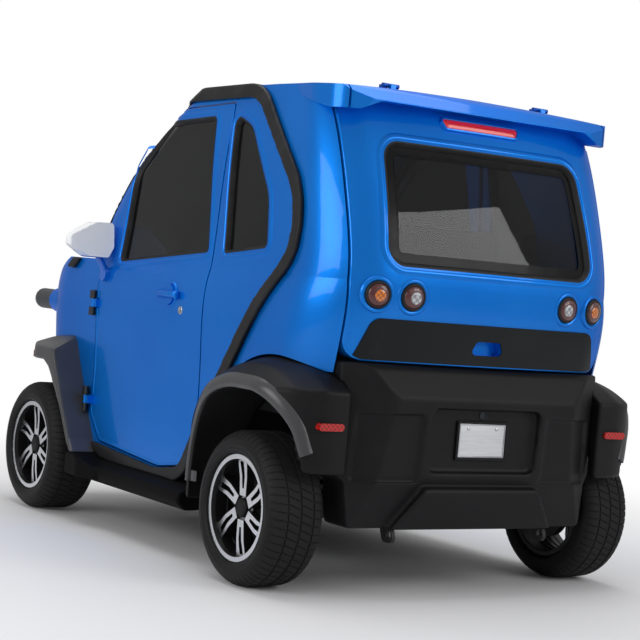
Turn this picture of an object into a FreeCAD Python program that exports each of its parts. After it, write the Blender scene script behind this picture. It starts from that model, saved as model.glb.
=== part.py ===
"""Small four-wheeled electric city car with two doors, a roof-hinged tailgate and steered front wheels.

Frame: +X forward, +Y to the car's left, +Z up, origin on the ground at the middle of the car's length.
Places along the car are measured from the rear axle (rear_x) or from the front axle (front_x), in millimetres.
"""

import FreeCAD, Part
import math
import os

V = FreeCAD.Vector

# Overall plan
WHEELBASE = 1500.0
REAR_OVERHANG = 312.0
FRONT_OVERHANG = 402.0
TRACK = 1210.0
WHEEL_Y = TRACK / 2

# Tyre and rim
TYRE_RADIUS = 233.0
TYRE_WIDTH = 190.0
TYRE_SHOULDER = 46.0
RIM_LIP_RADIUS = 163.0
RIM_LIP_WIDTH = 12.0
RIM_WALL = 9.0
RIM_BED_DROP = 9.0
RIM_HALF_WIDTH = 84.0
RIM_DISH = 22.0
SPOKE_PAIRS = 6
SPOKE_THICKNESS = 26.0
HUB_RADIUS = 44.0
HUB_CAP_RADIUS = 27.0
SPINDLE_RADIUS = 15.0
SPINDLE_CLEARANCE = 0.05
SPINDLE_DEPTH = 66.0

# Steering
KINGPIN_INSET = 62.0
KINGPIN_RADIUS = 9.0
KINGPIN_CLEARANCE = 0.05
KNUCKLE_HALF_HEIGHT = 78.0
ARM_EYE_RADIUS = 20.0
ARM_EYE_HEIGHT = 24.0
STEERING_WHEEL_RADIUS = 165.0
STEERING_RIM_RADIUS = 14.0
STEERING_TILT = 35.0
STEERING_Y = 240.0
STEERING_X = 960.0
STEERING_Z = 950.0
COLUMN_RADIUS = 22.0
COLUMN_LENGTH = 240.0

# Body shell
WALL = 44.0
ROOF_TOP = 1548.0
ROOF_SIDE_RADIUS = 7600.0
ROOF_CROSS_RADIUS = 8600.0
ROOF_PEAK_X = 380.0
BELT_Z = 940.0
BODY_BOTTOM_Z = 150.0
BODY_TOP_Z = 1580.0
REAR_BOW_RADIUS = 4100.0
NOSE_BOW_RADIUS = 1400.0
SCREEN_BOW_RADIUS = 1500.0
CANT_Y = 492.0
SPLIT_Y = 437.0
BAND_WIDTH = 46.0
BAND_PROUD = 17.0
PANEL_GAP = 0.3
SHUT_GAP = 6.0
REBATE = 16.0
SKIN = 22.0
GLASS = 5.0
GLASS_DEPTH = 14.0

# Tailgate
GATE_HALF_WIDTH = 500.0
GATE_BOTTOM_Z = 706.0
GATE_CORNER = 62.0
GATE_SEAM_X = -62.0
GATE_HINGE_Z = 1541.0
GATE_HINGE_RADIUS = 7.0
GATE_HINGE_Y = 300.0
GATE_HINGE_LENGTH = 60.0
GATE_HINGE_REACH = 18.0
SPOILER_LIP_X = -172.0
SPOILER_LIP_Z = 1480.0
SPOILER_TIP_Z = 1446.0
EAVE_START_X = 130.0
GATE_PANEL_PROUD = 4.0
GRIP_Y = 0.0
GRIP_FLOOR_X = -236.0
LAMP_RADIUS = 43.0
LAMP_SPAN_OUTER = 423.0
LAMP_SPAN_INNER = 303.0
LAMP_Z = 903.0
LAMP_PROUD = 10.0

BUMPER_WALL = 40.0
LAMP_SEAT_X = 250.0
POD_RADIUS = 39.0
POD_Y = 502.0
POD_Z = 768.0
PLATE_RECESS = 36.0
POCKET_DEPTH = 12.0
NUMBER_PLATE = (180.0, 103.0, 3.0)
NUMBER_PLATE_Z = 482.0

# Door and its hinges
DOOR_FRONT_X = 1238.0
HINGE_X = 1245.0
HINGE_Y = 603.0
HINGE_HEIGHTS = (780.0, 432.0)
HINGE_RADIUS = 8.0
HINGE_PIN = 4.0
HINGE_REACH = 26.0
HINGE_FOOT = 12.0
HINGE_CLEARANCE = 0.05
HINGE_LENGTH = 90.0

MIRROR_X = 1180.0
MIRROR_TIP_Y = 761.0

# Floor, frame and running gear
FLOOR_Z = 250.0
PLATE = 12.0
DECK_Z = 520.0
WELL_Y = 486.0
FRONT_WELL_Y = 392.0
RISER_X = 378.0
SUSPENSION_GAP = 70.0
RAIL_Y = 270.0
RAIL_WIDTH = 50.0
RAIL_BOTTOM = 180.0
RAIL_HEIGHT = 55.0
RAIL_KICK = 110.0
RAIL_FRONT = 272.0
TOW_EYE_RADIUS = 12.0
TOW_EYE_Z = 162.0
TOW_EYE_FRONT = 240.0
TOW_EYE_REAR = -250.0
TOW_EYE_REAR_Z = 190.0
TOW_ROOT_REAR = -192.0
JACK_PAD_DEPTH = 8.0
JACK_PAD_FRONT = -400.0
JACK_PAD_REAR = 560.0
DAMPER_RADIUS = 20.0
COIL_RADIUS = 36.0
COIL_DEPTH = 8.0
COIL_TURNS = 7
FRONT_DAMPER_Y = RAIL_Y + RAIL_WIDTH + 66.0
REAR_DAMPER_Y = 400.0
AXLE_TUBE_RADIUS = 32.0

# Cabin
SEAT_BASE_Z = 470.0

# Wheel arches
REAR_ARCH_TOP = 592.0
REAR_ARCH_FRONT = 345.0
FENDER_OUT_Y = 712.0
FRONT_FENDER_Y = 690.0
FRONT_FENDER_THICK = 18.0
FRONT_FENDER_LIP = 14.0
FRONT_TOWER_Z = 560.0
NOSE_BOTTOM_Z = 562.0
SILL_END = -296.0
SILL_TOP_Z = 249.0

REAR_AXLE_X = REAR_OVERHANG - (REAR_OVERHANG + WHEELBASE + FRONT_OVERHANG) / 2
FRONT_AXLE_X = REAR_AXLE_X + WHEELBASE
KINGPIN_Y = WHEEL_Y - KINGPIN_INSET
SIDES = (("left", 1), ("right", -1))

# Plan sections below the belt: height, half width, tail x, tail corner, nose x, nose corner
LOWER_SECTIONS = (
    (BODY_BOTTOM_Z, 572.0, -130.0, 190.0, 300.0, 300.0),
    (450.0, 584.0, -205.0, 200.0, 345.0, 320.0),
    (700.0, 591.0, -254.0, 212.0, 366.0, 330.0),
    (850.0, 593.0, -280.0, 215.0, 360.0, 330.0),
    (BELT_Z, 577.0, -288.0, 213.0, 330.0, 320.0),
)
# Plan sections above the belt: the same columns, with the windscreen in the nose's place
UPPER_SECTIONS = (
    (BELT_Z, 577.0, -288.0, 213.0, 8.0, 180.0),
    (1080.0, 566.0, -270.0, 196.0, -88.0, 170.0),
    (1200.0, 560.0, -233.0, 182.0, -190.0, 160.0),
    (1330.0, 550.0, -184.0, 158.0, -335.0, 150.0),
    (1450.0, 537.0, -132.0, 142.0, -510.0, 140.0),
    (BODY_TOP_Z, 522.0, -74.0, 125.0, -760.0, 130.0),
)
# Side outline of the door: x, z, corner radius
DOOR_OUTLINE = (
    (1146.0, 289.0, 60.0),
    (DOOR_FRONT_X, 384.0, 50.0),
    (DOOR_FRONT_X, 1098.0, 60.0),
    (1012.0, 1366.0, 160.0),
    (905.0, 1472.0, 90.0),
    (460.0, 1484.0, 14.0),
    (460.0, 410.0, 60.0),
    (531.0, 283.0, 80.0),
    (690.0, 261.0, 60.0),
)
# Side outline of the door window
DOOR_WINDOW = (
    (1112.0, 936.0, 18.0),
    (1082.0, 1266.0, 60.0),
    (908.0, 1430.0, 70.0),
    (572.0, 1440.0, 22.0),
    (498.0, 990.0, 14.0),
)
# Side outline of the rear quarter window
QUARTER_WINDOW = (
    (392.0, 990.0, 12.0),
    (446.0, 1446.0, 26.0),
    (330.0, 1400.0, 110.0),
    (168.0, 1180.0, 160.0),
    (140.0, 1016.0, 18.0),
)
# Side outline of the small window ahead of the door
VENT_WINDOW = (
    (1284.0, 952.0, 8.0),
    (1284.0, 1092.0, 8.0),
    (1362.0, 952.0, 8.0),
)
# Middle line of the seal band round the cabin side
BAND_PATH = (
    (1500.0, 860.0, 0.0),
    (1392.0, 1010.0, 400.0),
    (1236.0, 1212.0, 900.0),
    (1000.0, 1424.0, 500.0),
    (836.0, 1515.0, 160.0),
    (300.0, 1515.0, 170.0),
    (-30.0, 1180.0, 230.0),
    (-24.0, 1010.0, 150.0),
    (120.0, 840.0, 700.0),
    (373.0, 520.0, 700.0),
    (516.0, 262.0, 110.0),
    (700.0, 236.0, 300.0),
    (1240.0, 270.0, 0.0),
)
# Rear outline of the tailgate's window: y, z, corner radius
GATE_WINDOW = (
    (-400.0, 992.0, 60.0),
    (400.0, 992.0, 60.0),
    (378.0, 1366.0, 60.0),
    (-378.0, 1366.0, 60.0),
)
# Side line of the front fender from its foot on the sill over the wheel to its tip: x from the front axle, z, radius
FENDER_LINE = (
    (-361.0, 239.0, 0.0),
    (-311.0, 293.0, 60.0),
    (-242.0, 397.0, 200.0),
    (-163.0, 527.0, 300.0),
    (-104.0, 652.0, 36.0),
    (24.0, 642.0, 120.0),
    (112.0, 590.0, 30.0),
    (126.0, 548.0, 0.0),
)


def rear_x(x):
    """Place measured forward from the rear axle."""
    return REAR_AXLE_X + x


def front_x(x):
    """Place measured forward from the front axle."""
    return FRONT_AXLE_X + x


def from_rear(points):
    """Outline whose first column is measured from the rear axle, in the car's frame."""
    return [(rear_x(p[0]),) + tuple(p[1:]) for p in points]


def rounded_edges(points, place, closed=True):
    """Lines and tangent arcs through corners (a, b, radius)."""
    corners = []
    count = len(points)
    for i, (a, b, radius) in enumerate(points):
        here = V(a, b, 0)
        if radius <= 0 or (not closed and i in (0, count - 1)):
            corners.append((here, None, here))
            continue
        back = V(points[i - 1][0], points[i - 1][1], 0) - here
        ahead = V(points[(i + 1) % count][0], points[(i + 1) % count][1], 0) - here
        back.normalize()
        ahead.normalize()
        half = back.getAngle(ahead) / 2
        reach = radius / math.tan(half)
        middle = back + ahead
        middle.normalize()
        corners.append((here + back * reach, here + middle * (radius / math.sin(half) - radius), here + ahead * reach))
    edges = []
    for i, (start, middle, end) in enumerate(corners):
        if middle is not None:
            edges.append(Part.Arc(place(start), place(middle), place(end)).toShape())
        if i == count - 1 and not closed:
            break
        following = corners[(i + 1) % count][0]
        if (following - end).Length > 1e-6:
            edges.append(Part.LineSegment(place(end), place(following)).toShape())
    return edges


def parallel(points, amount):
    """Open outline moved to its right by an amount, with its corner arcs kept concentric."""
    runs = []
    for start, end in zip(points, points[1:]):
        run = V(end[0] - start[0], end[1] - start[1], 0)
        run.normalize()
        away = V(run.y, -run.x, 0) * amount
        runs.append((V(start[0], start[1], 0) + away, V(end[0], end[1], 0) + away, run))
    moved = [(runs[0][0].x, runs[0][0].y, 0.0)]
    for (start, _, run), (following, _, onward), (_, _, radius) in zip(runs, runs[1:], points[1:]):
        turn = run.x * onward.y - run.y * onward.x
        gap = following - start
        reach = (gap.x * onward.y - gap.y * onward.x) / turn
        corner = start + run * reach
        moved.append((corner.x, corner.y, radius + amount if turn > 0 else max(radius - amount, 0.0)))
    moved.append((runs[-1][1].x, runs[-1][1].y, 0.0))
    return moved


def prism_y(points, y0, y1):
    """Side outline (x, z, radius) extruded across the car."""
    face = Part.Face(Part.Wire(rounded_edges(points, lambda p: V(p.x, y0, p.y))))
    return face.extrude(V(0, y1 - y0, 0))


def prism_x(points, x0, x1):
    """Rear outline (y, z, radius) extruded along the car."""
    face = Part.Face(Part.Wire(rounded_edges(points, lambda p: V(x0, p.x, p.y))))
    return face.extrude(V(x1 - x0, 0, 0))


def prism_z(points, z0, z1):
    """Plan outline (x, y, radius) extruded upwards."""
    face = Part.Face(Part.Wire(rounded_edges(points, lambda p: V(p.x, p.y, z0))))
    return face.extrude(V(0, 0, z1 - z0))


def box(x0, x1, y0, y1, z0, z1):
    """Block between two corners."""
    return Part.makeBox(x1 - x0, y1 - y0, z1 - z0, V(x0, y0, z0))


def rod(start, end, radius):
    """Round bar from one point to another."""
    return Part.makeCylinder(radius, (end - start).Length, start, end - start)


def turned(points, centre):
    """Solid turned about a line across the car, from corners (offset along the axle, radius, corner radius)."""
    face = Part.Face(Part.Wire(rounded_edges(points, lambda p: centre + V(0, p.x, p.y))))
    return face.revolve(centre, V(0, 1, 0), 360)


def mirrored(shape):
    """The same piece on the car's other side."""
    return shape.mirror(V(0, 0, 0), V(0, 1, 0))


def on_side(shape, side):
    """A left-hand piece on the named side."""
    return shape if side > 0 else mirrored(shape)


def both(shape):
    """A left-hand piece and its mirror image."""
    return [shape, mirrored(shape)]


def section(z, half_width, tail, tail_corner, nose, nose_corner, nose_bow, inset):
    """Plan outline of the body at one height: bowed tail and nose joined to straight sides by tangent corners."""
    half = half_width - inset
    ends = []
    for tip, corner, bow, sign in (
        (rear_x(tail) + inset, tail_corner, REAR_BOW_RADIUS, 1),
        (front_x(nose) - inset, nose_corner, nose_bow, -1),
    ):
        corner = corner - inset
        bow = bow - inset
        bow_x = tip + sign * bow
        corner_y = half - corner
        corner_x = bow_x - sign * math.sqrt((bow - corner) ** 2 - corner_y ** 2)
        lean = V(corner_x - bow_x, corner_y, 0)
        lean.normalize()
        touch = V(bow_x, 0, 0) + lean * bow
        middle = lean + V(0, 1, 0)
        middle.normalize()
        bend = V(corner_x, corner_y, 0) + middle * corner
        ends.append((touch, bend, V(corner_x, half, 0), V(tip, 0, 0)))
    (t_touch, t_bend, t_side, t_tip), (n_touch, n_bend, n_side, n_tip) = ends

    def at(p, side=1):
        return V(p.x, side * p.y, z)

    return Part.Wire([
        Part.Arc(at(t_touch, -1), at(t_tip), at(t_touch)).toShape(),
        Part.Arc(at(t_touch), at(t_bend), at(t_side)).toShape(),
        Part.LineSegment(at(t_side), at(n_side)).toShape(),
        Part.Arc(at(n_side), at(n_bend), at(n_touch)).toShape(),
        Part.Arc(at(n_touch), at(n_tip), at(n_touch, -1)).toShape(),
        Part.Arc(at(n_touch, -1), at(n_bend, -1), at(n_side, -1)).toShape(),
        Part.LineSegment(at(n_side, -1), at(t_side, -1)).toShape(),
        Part.Arc(at(t_side, -1), at(t_bend, -1), at(t_touch, -1)).toShape(),
    ])


def crown(inset):
    """Everything under the roof's double-curved top."""
    low = ROOF_TOP - ROOF_SIDE_RADIUS
    reach = 900.0
    drop = ROOF_CROSS_RADIUS - math.sqrt(ROOF_CROSS_RADIUS ** 2 - reach ** 2)
    top = ROOF_TOP - inset
    x = rear_x(ROOF_PEAK_X)
    wire = Part.Wire([
        Part.Arc(V(x, -reach, top - drop), V(x, 0, top), V(x, reach, top - drop)).toShape(),
        Part.LineSegment(V(x, reach, top - drop), V(x, reach, -50)).toShape(),
        Part.LineSegment(V(x, reach, -50), V(x, -reach, -50)).toShape(),
        Part.LineSegment(V(x, -reach, -50), V(x, -reach, top - drop)).toShape(),
    ])
    barrel = Part.Face(wire).revolve(V(x, 0, low), V(0, 1, 0), 50)
    return barrel.rotate(V(x, 0, low), V(0, 1, 0), -25)


def hood_limit(inset):
    """Everything under the hood's sloping line, from the windscreen's foot to the nose."""
    return prism_y([
        (rear_x(-600), 0, 0),
        (rear_x(-600), BELT_Z + 400, 0),
        (front_x(20), BELT_Z + 4 - inset, 200),
        (front_x(280), BELT_Z - 140 - inset, 260),
        (front_x(500), BELT_Z - 360 - inset, 0),
        (front_x(500), 0, 0),
    ], -900, 900)


def body_form(inset):
    """The car's closed outer form, drawn in by an inset."""
    lower = Part.makeLoft([section(*row, NOSE_BOW_RADIUS, inset) for row in LOWER_SECTIONS], True, False)
    upper = Part.makeLoft([section(*row, SCREEN_BOW_RADIUS, inset) for row in UPPER_SECTIONS], True, False)
    return lower.common(hood_limit(inset)).fuse(upper.common(crown(inset)))


FORMS = {}


def form(inset):
    """Body form for one inset, made once."""
    if inset not in FORMS:
        FORMS[inset] = body_form(inset)
    return FORMS[inset].copy()


def skin(outer, inner):
    """Layer of the body between two insets."""
    return form(outer).cut(form(inner))


def shrunk(points, amount):
    """Side outline drawn in all round by an amount."""
    face = Part.Face(Part.Wire(rounded_edges(points, lambda p: V(p.x, 0, p.y))))
    return face.makeOffset2D(-amount)


def slab(face, y0, y1):
    """Side face extruded across the car between two offsets."""
    moved = face.copy()
    moved.translate(V(0, y0, 0))
    return moved.extrude(V(0, y1 - y0, 0))


def band_ring(width):
    """Side face of a strip of some width along the band's middle line."""
    face = Part.Face(Part.Wire(rounded_edges(cabin_side(), lambda p: V(p.x, 0, p.y))))
    return face.makeOffset2D(width / 2).cut(face.makeOffset2D(-width / 2))


def cabin_side():
    """Side outline inside the seal band."""
    points = list(BAND_PATH) + [(1560.0, 270.0, 0.0)]
    return from_rear(points)


def tyre(centre):
    """Tyre with a flat tread, round shoulders, bulged walls and beads between the rim's lips."""
    half = TYRE_WIDTH / 2
    lip = RIM_LIP_RADIUS + PANEL_GAP
    bed = RIM_LIP_RADIUS - RIM_BED_DROP + PANEL_GAP
    bead = RIM_HALF_WIDTH - RIM_LIP_WIDTH - PANEL_GAP
    wall = [
        (bead, bed, 0),
        (bead, lip, 0),
        (RIM_HALF_WIDTH, lip, 0),
        (half, lip + 16, 16),
        (half, TYRE_RADIUS, TYRE_SHOULDER),
    ]
    return turned([(-y, radius, corner) for y, radius, corner in wall] + wall[::-1], centre)



def rim(centre, side):
    """Alloy rim: barrel with raised lips, split spokes, hub and cap; outside faces +Y."""
    half = RIM_HALF_WIDTH
    bed = RIM_LIP_RADIUS - RIM_BED_DROP
    barrel = turned([
        (-half, RIM_LIP_RADIUS - 1, 2),
        (-half + RIM_LIP_WIDTH, RIM_LIP_RADIUS - 1, 2),
        (-half + RIM_LIP_WIDTH, bed, 0),
        (half - RIM_LIP_WIDTH, bed, 0),
        (half - RIM_LIP_WIDTH, RIM_LIP_RADIUS - 1, 2),
        (half, RIM_LIP_RADIUS - 1, 3),
        (half, bed - RIM_WALL, 3),
        (half - 14, bed - RIM_WALL - 3, 4),
        (-half, bed - RIM_WALL, 3),
    ], V(0, 0, 0))
    face_y = half - RIM_DISH
    hub = turned([
        (-WHEEL_Y + KINGPIN_Y + 14, 0, 0),
        (-WHEEL_Y + KINGPIN_Y + 14, HUB_RADIUS - 8, 3),
        (face_y - SPOKE_THICKNESS, HUB_RADIUS, 4),
        (face_y - 10, HUB_RADIUS, 5),
        (face_y - 14, HUB_CAP_RADIUS + 3, 2),
        (face_y - 2, HUB_CAP_RADIUS, 4),
        (face_y - 2, 0, 0),
    ], V(0, 0, 0))
    blade = spoke()
    wheel = barrel.fuse(hub)
    for i in range(SPOKE_PAIRS):
        turned_blade = blade.copy()
        turned_blade.rotate(V(0, 0, 0), V(0, 1, 0), 360.0 * i / SPOKE_PAIRS)
        wheel = wheel.fuse(turned_blade)
    bore = rod(V(0, -half, 0), V(0, SPINDLE_DEPTH - (WHEEL_Y - KINGPIN_Y), 0), SPINDLE_RADIUS + SPINDLE_CLEARANCE)
    wheel = wheel.cut(bore).removeSplitter()
    wheel = on_side(wheel, side)
    wheel.translate(centre)
    return wheel


def spoke():
    """One split spoke: a swept blade from the hub to the lip, widening outwards, with a slot down its middle."""
    face_y = RIM_HALF_WIDTH - RIM_DISH
    outer = RIM_LIP_RADIUS - 12
    blade = Part.Face(Part.Wire(rounded_edges([
        (-17, HUB_RADIUS - 8, 0),
        (17, HUB_RADIUS - 8, 0),
        (25, 92, 60),
        (46, outer, 0),
        (-6, outer, 0),
        (-16, 92, 60),
    ], lambda p: V(p.x, face_y - SPOKE_THICKNESS, p.y)))).extrude(V(0, SPOKE_THICKNESS, 0))
    slot = Part.Face(Part.Wire(rounded_edges([
        (-4, HUB_RADIUS + 14, 3),
        (6, HUB_RADIUS + 14, 3),
        (13, 96, 30),
        (31, outer - 14, 3),
        (10, outer - 14, 3),
        (-3, 96, 30),
    ], lambda p: V(p.x, -RIM_HALF_WIDTH, p.y)))).extrude(V(0, 2 * RIM_HALF_WIDTH, 0))
    ring = turned([
        (-RIM_HALF_WIDTH, 0, 0),
        (-RIM_HALF_WIDTH, outer, 0),
        (RIM_HALF_WIDTH, outer, 0),
        (RIM_HALF_WIDTH, 0, 0),
    ], V(0, 0, 0))
    return blade.cut(slot).common(ring)


def knuckle():
    """Left front knuckle: upright with kingpins at both ends and the wheel's spindle."""
    x, z = FRONT_AXLE_X, TYRE_RADIUS
    upright = prism_x([
        (KINGPIN_Y - 17, z - KNUCKLE_HALF_HEIGHT, 6),
        (KINGPIN_Y + 11, z - KNUCKLE_HALF_HEIGHT, 6),
        (KINGPIN_Y + 11, z + KNUCKLE_HALF_HEIGHT, 6),
        (KINGPIN_Y - 17, z + KNUCKLE_HALF_HEIGHT, 6),
    ], x - 26, x + 26)
    upright = upright.fuse(rod(V(x, KINGPIN_Y - 20, z), V(x, KINGPIN_Y + 12.5, z), 52))
    spindle = rod(V(x, KINGPIN_Y, z), V(x, KINGPIN_Y + SPINDLE_DEPTH - 1, z), SPINDLE_RADIUS)
    reach = KNUCKLE_HALF_HEIGHT + ARM_EYE_HEIGHT + 2
    pin = rod(V(x, KINGPIN_Y, z - reach), V(x, KINGPIN_Y, z + reach), KINGPIN_RADIUS)
    arm = prism_z([
        (x - 20, KINGPIN_Y - 14, 0),
        (x - 108, KINGPIN_Y - 48, 0),
        (x - 116, KINGPIN_Y - 30, 0),
        (x - 20, KINGPIN_Y + 6, 0),
    ], z - 40, z - 26)
    return upright.fuse([spindle, pin, arm]).removeSplitter()


def front_axle():
    """Front cross member with upper and lower arms that end in eyes round the kingpins, and the steering rack."""
    x, z = FRONT_AXLE_X, TYRE_RADIUS
    beam = box(x - 45, x + 45, -RAIL_Y - RAIL_WIDTH, RAIL_Y + RAIL_WIDTH, RAIL_BOTTOM - PANEL_GAP - 46, RAIL_BOTTOM - PANEL_GAP)
    beam = beam.makeFillet(8, [e for e in beam.Edges if abs(e.tangentAt(0).y) > 0.9])
    tower = []
    for side in (1, -1):
        tower.append(prism_x([
            (side * (RAIL_Y + RAIL_WIDTH + 1), RAIL_BOTTOM - 40, 0),
            (side * (RAIL_Y + RAIL_WIDTH + 24), RAIL_BOTTOM - 40, 0),
            (side * (RAIL_Y + RAIL_WIDTH + 24), z + 120, 4),
            (side * (RAIL_Y + RAIL_WIDTH + 1), z + 120, 4),
        ], x - 34, x + 34))
        foot = box(x - 34, x + 34, RAIL_Y + RAIL_WIDTH - 10, RAIL_Y + RAIL_WIDTH + 20, RAIL_BOTTOM - 40, RAIL_BOTTOM - 8)
        tower.append(on_side(foot, side))
        for level in (-1, 1):
            eye_z = z + level * (KNUCKLE_HALF_HEIGHT + 1 + ARM_EYE_HEIGHT / 2)
            arm = prism_z([
                (x - 60, RAIL_Y + RAIL_WIDTH + 20, 10),
                (x - 16, KINGPIN_Y, 0),
                (x + 16, KINGPIN_Y, 0),
                (x + 60, RAIL_Y + RAIL_WIDTH + 20, 10),
            ], eye_z - 9, eye_z + 9)
            arm = arm.cut(prism_z([
                (x - 34, RAIL_Y + RAIL_WIDTH + 36, 8),
                (x, KINGPIN_Y - 46, 6),
                (x + 34, RAIL_Y + RAIL_WIDTH + 36, 8),
            ], eye_z - 20, eye_z + 20))
            if level > 0:
                arm = arm.cut(rod(V(x, FRONT_DAMPER_Y, eye_z - 20), V(x, FRONT_DAMPER_Y, eye_z + 20), COIL_RADIUS + 3))
            eye = Part.makeCylinder(ARM_EYE_RADIUS, ARM_EYE_HEIGHT, V(x, KINGPIN_Y, eye_z - ARM_EYE_HEIGHT / 2))
            hole = Part.makeCylinder(KINGPIN_RADIUS + KINGPIN_CLEARANCE, 80, V(x, KINGPIN_Y, eye_z - 40))
            tower.append(on_side(arm.fuse(eye).cut(hole), side))
    rack = rod(V(x - 90, -300, z + 24), V(x - 90, 300, z + 24), 17)
    clamp = box(x - 92, x - 40, -60, 60, RAIL_BOTTOM - 20, z + 24)
    return beam.fuse(tower + [rack, clamp]).removeSplitter()


def rear_axle():
    """Live rear axle: tube, gear case, motor, brake back plates, spindles and trailing arms to the frame."""
    x, z = REAR_AXLE_X, TYRE_RADIUS
    tube = rod(V(x, -KINGPIN_Y + 14, z), V(x, KINGPIN_Y - 14, z), AXLE_TUBE_RADIUS)
    case = turned([(-62, 0, 0), (-62, 50, 12), (-44, 66, 12), (44, 66, 12), (62, 50, 12), (62, 0, 0)], V(x, 0, z))
    motor = rod(V(x + 20, 0, z), V(x + 270, 0, z), 60)
    ribs = [rod(V(x + 100 + 34 * i, 0, z), V(x + 112 + 34 * i, 0, z), 65) for i in range(4)]
    pieces = [case, motor] + ribs
    for side in (1, -1):
        plate = rod(V(x, side * (KINGPIN_Y - 16), z), V(x, side * (KINGPIN_Y + 10), z), 96)
        spindle = rod(V(x, side * KINGPIN_Y, z), V(x, side * (KINGPIN_Y + SPINDLE_DEPTH - 1), z), SPINDLE_RADIUS)
        arm = prism_y([
            (x - 30, z - 14, 8),
            (x + 40, z - 40, 60),
            (rear_x(330) - 4, RAIL_BOTTOM + 12, 8),
            (rear_x(330) - 4, RAIL_BOTTOM + 40, 8),
            (x + 40, z - 4, 60),
            (x - 30, z + 14, 8),
        ], side * (RAIL_Y + 8), side * (RAIL_Y + RAIL_WIDTH - 8))
        seat = rod(V(x, side * REAR_DAMPER_Y, z + 6), V(x, side * REAR_DAMPER_Y, z + 46), COIL_RADIUS)
        pieces += [plate, spindle, arm, seat]
    return tube.fuse(pieces).removeSplitter()


def damper(x, y, z0, z1):
    """Upright damper in its spring, turned about one line: two spring seats and a ridge for each turn of the coil."""
    low = z0 + 16
    high = z1 - 16
    pitch = (high - low) / COIL_TURNS
    corners = [(0, z0), (DAMPER_RADIUS, z0), (DAMPER_RADIUS, low)]
    for i in range(COIL_TURNS):
        corners.append((COIL_RADIUS - COIL_DEPTH, low + pitch * i))
        corners.append((COIL_RADIUS, low + pitch * (i + 0.5)))
    corners += [(COIL_RADIUS - COIL_DEPTH, high), (DAMPER_RADIUS, high), (DAMPER_RADIUS, z1), (0, z1)]
    outline = Part.makePolygon([V(x + radius, y, z) for radius, z in corners + corners[:1]])
    return Part.Face(outline).revolve(V(x, y, 0), V(0, 0, 1), 360)


def dampers():
    """Four spring dampers, front pair on the lower arms and rear pair on the axle."""
    arm_top = TYRE_RADIUS - KNUCKLE_HALF_HEIGHT - 1 - ARM_EYE_HEIGHT / 2 + 9
    front = damper(FRONT_AXLE_X, FRONT_DAMPER_Y, arm_top + PANEL_GAP, FRONT_TOWER_Z - PANEL_GAP)
    rear = damper(REAR_AXLE_X, REAR_DAMPER_Y, TYRE_RADIUS + 46 + PANEL_GAP, DECK_Z - PLATE - PANEL_GAP)
    return both(front) + both(rear)


def chassis_frame():
    """Two kicked-up side rails with cross members and towing brackets."""
    top = RAIL_BOTTOM + RAIL_HEIGHT
    rails = []
    for side in (1, -1):
        rails.append(prism_y([
            (rear_x(-225), RAIL_BOTTOM + RAIL_KICK, 0),
            (rear_x(255), RAIL_BOTTOM + RAIL_KICK, 40),
            (rear_x(330), RAIL_BOTTOM, 40),
            (front_x(RAIL_FRONT), RAIL_BOTTOM, 0),
            (front_x(RAIL_FRONT), top, 0),
            (rear_x(356), top, 40),
            (rear_x(281), top + RAIL_KICK, 40),
            (rear_x(-225), top + RAIL_KICK, 0),
        ], side * RAIL_Y, side * (RAIL_Y + RAIL_WIDTH)))
    cross = []
    for x, z in (
        (rear_x(-200), RAIL_BOTTOM + RAIL_KICK),
        (rear_x(356), RAIL_BOTTOM),
        (rear_x(800), RAIL_BOTTOM),
        (front_x(-270), RAIL_BOTTOM),
        (front_x(RAIL_FRONT - 45), RAIL_BOTTOM),
    ):
        cross.append(box(x, x + 40, -RAIL_Y - 1, RAIL_Y + 1, z + 5, z + RAIL_HEIGHT - 5))
    extras = []
    for side in (1, -1):
        x_front = front_x(TOW_EYE_FRONT)
        extras.append(tow_eye(x_front, TOW_EYE_Z, x_front, RAIL_BOTTOM + 4, side))
        extras.append(tow_eye(rear_x(TOW_EYE_REAR), TOW_EYE_REAR_Z, rear_x(TOW_ROOT_REAR),
                              RAIL_BOTTOM + RAIL_KICK + 4, side))
        for x in (front_x(JACK_PAD_FRONT), rear_x(JACK_PAD_REAR)):
            extras.append(on_side(box(x - 45, x + 45, RAIL_Y + 2, RAIL_Y + RAIL_WIDTH - 2,
                                      RAIL_BOTTOM - JACK_PAD_DEPTH, RAIL_BOTTOM + 2), side))
    return rails[0].fuse([rails[1]] + cross + extras).removeSplitter()


def tow_eye(x, z, root, top, side):
    """Plate with a hole for towing or tying down, hung from its root under a rail."""
    y = RAIL_Y + (RAIL_WIDTH - PLATE) / 2
    plate = prism_y([
        (x - 30, z - 24, 18),
        (x + 30, z - 24, 18),
        (root + 30, top, 0),
        (root - 30, top, 0),
    ], y, y + PLATE)
    return on_side(plate.cut(rod(V(x, 0, z), V(x, 900, z), TOW_EYE_RADIUS)), side)


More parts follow.
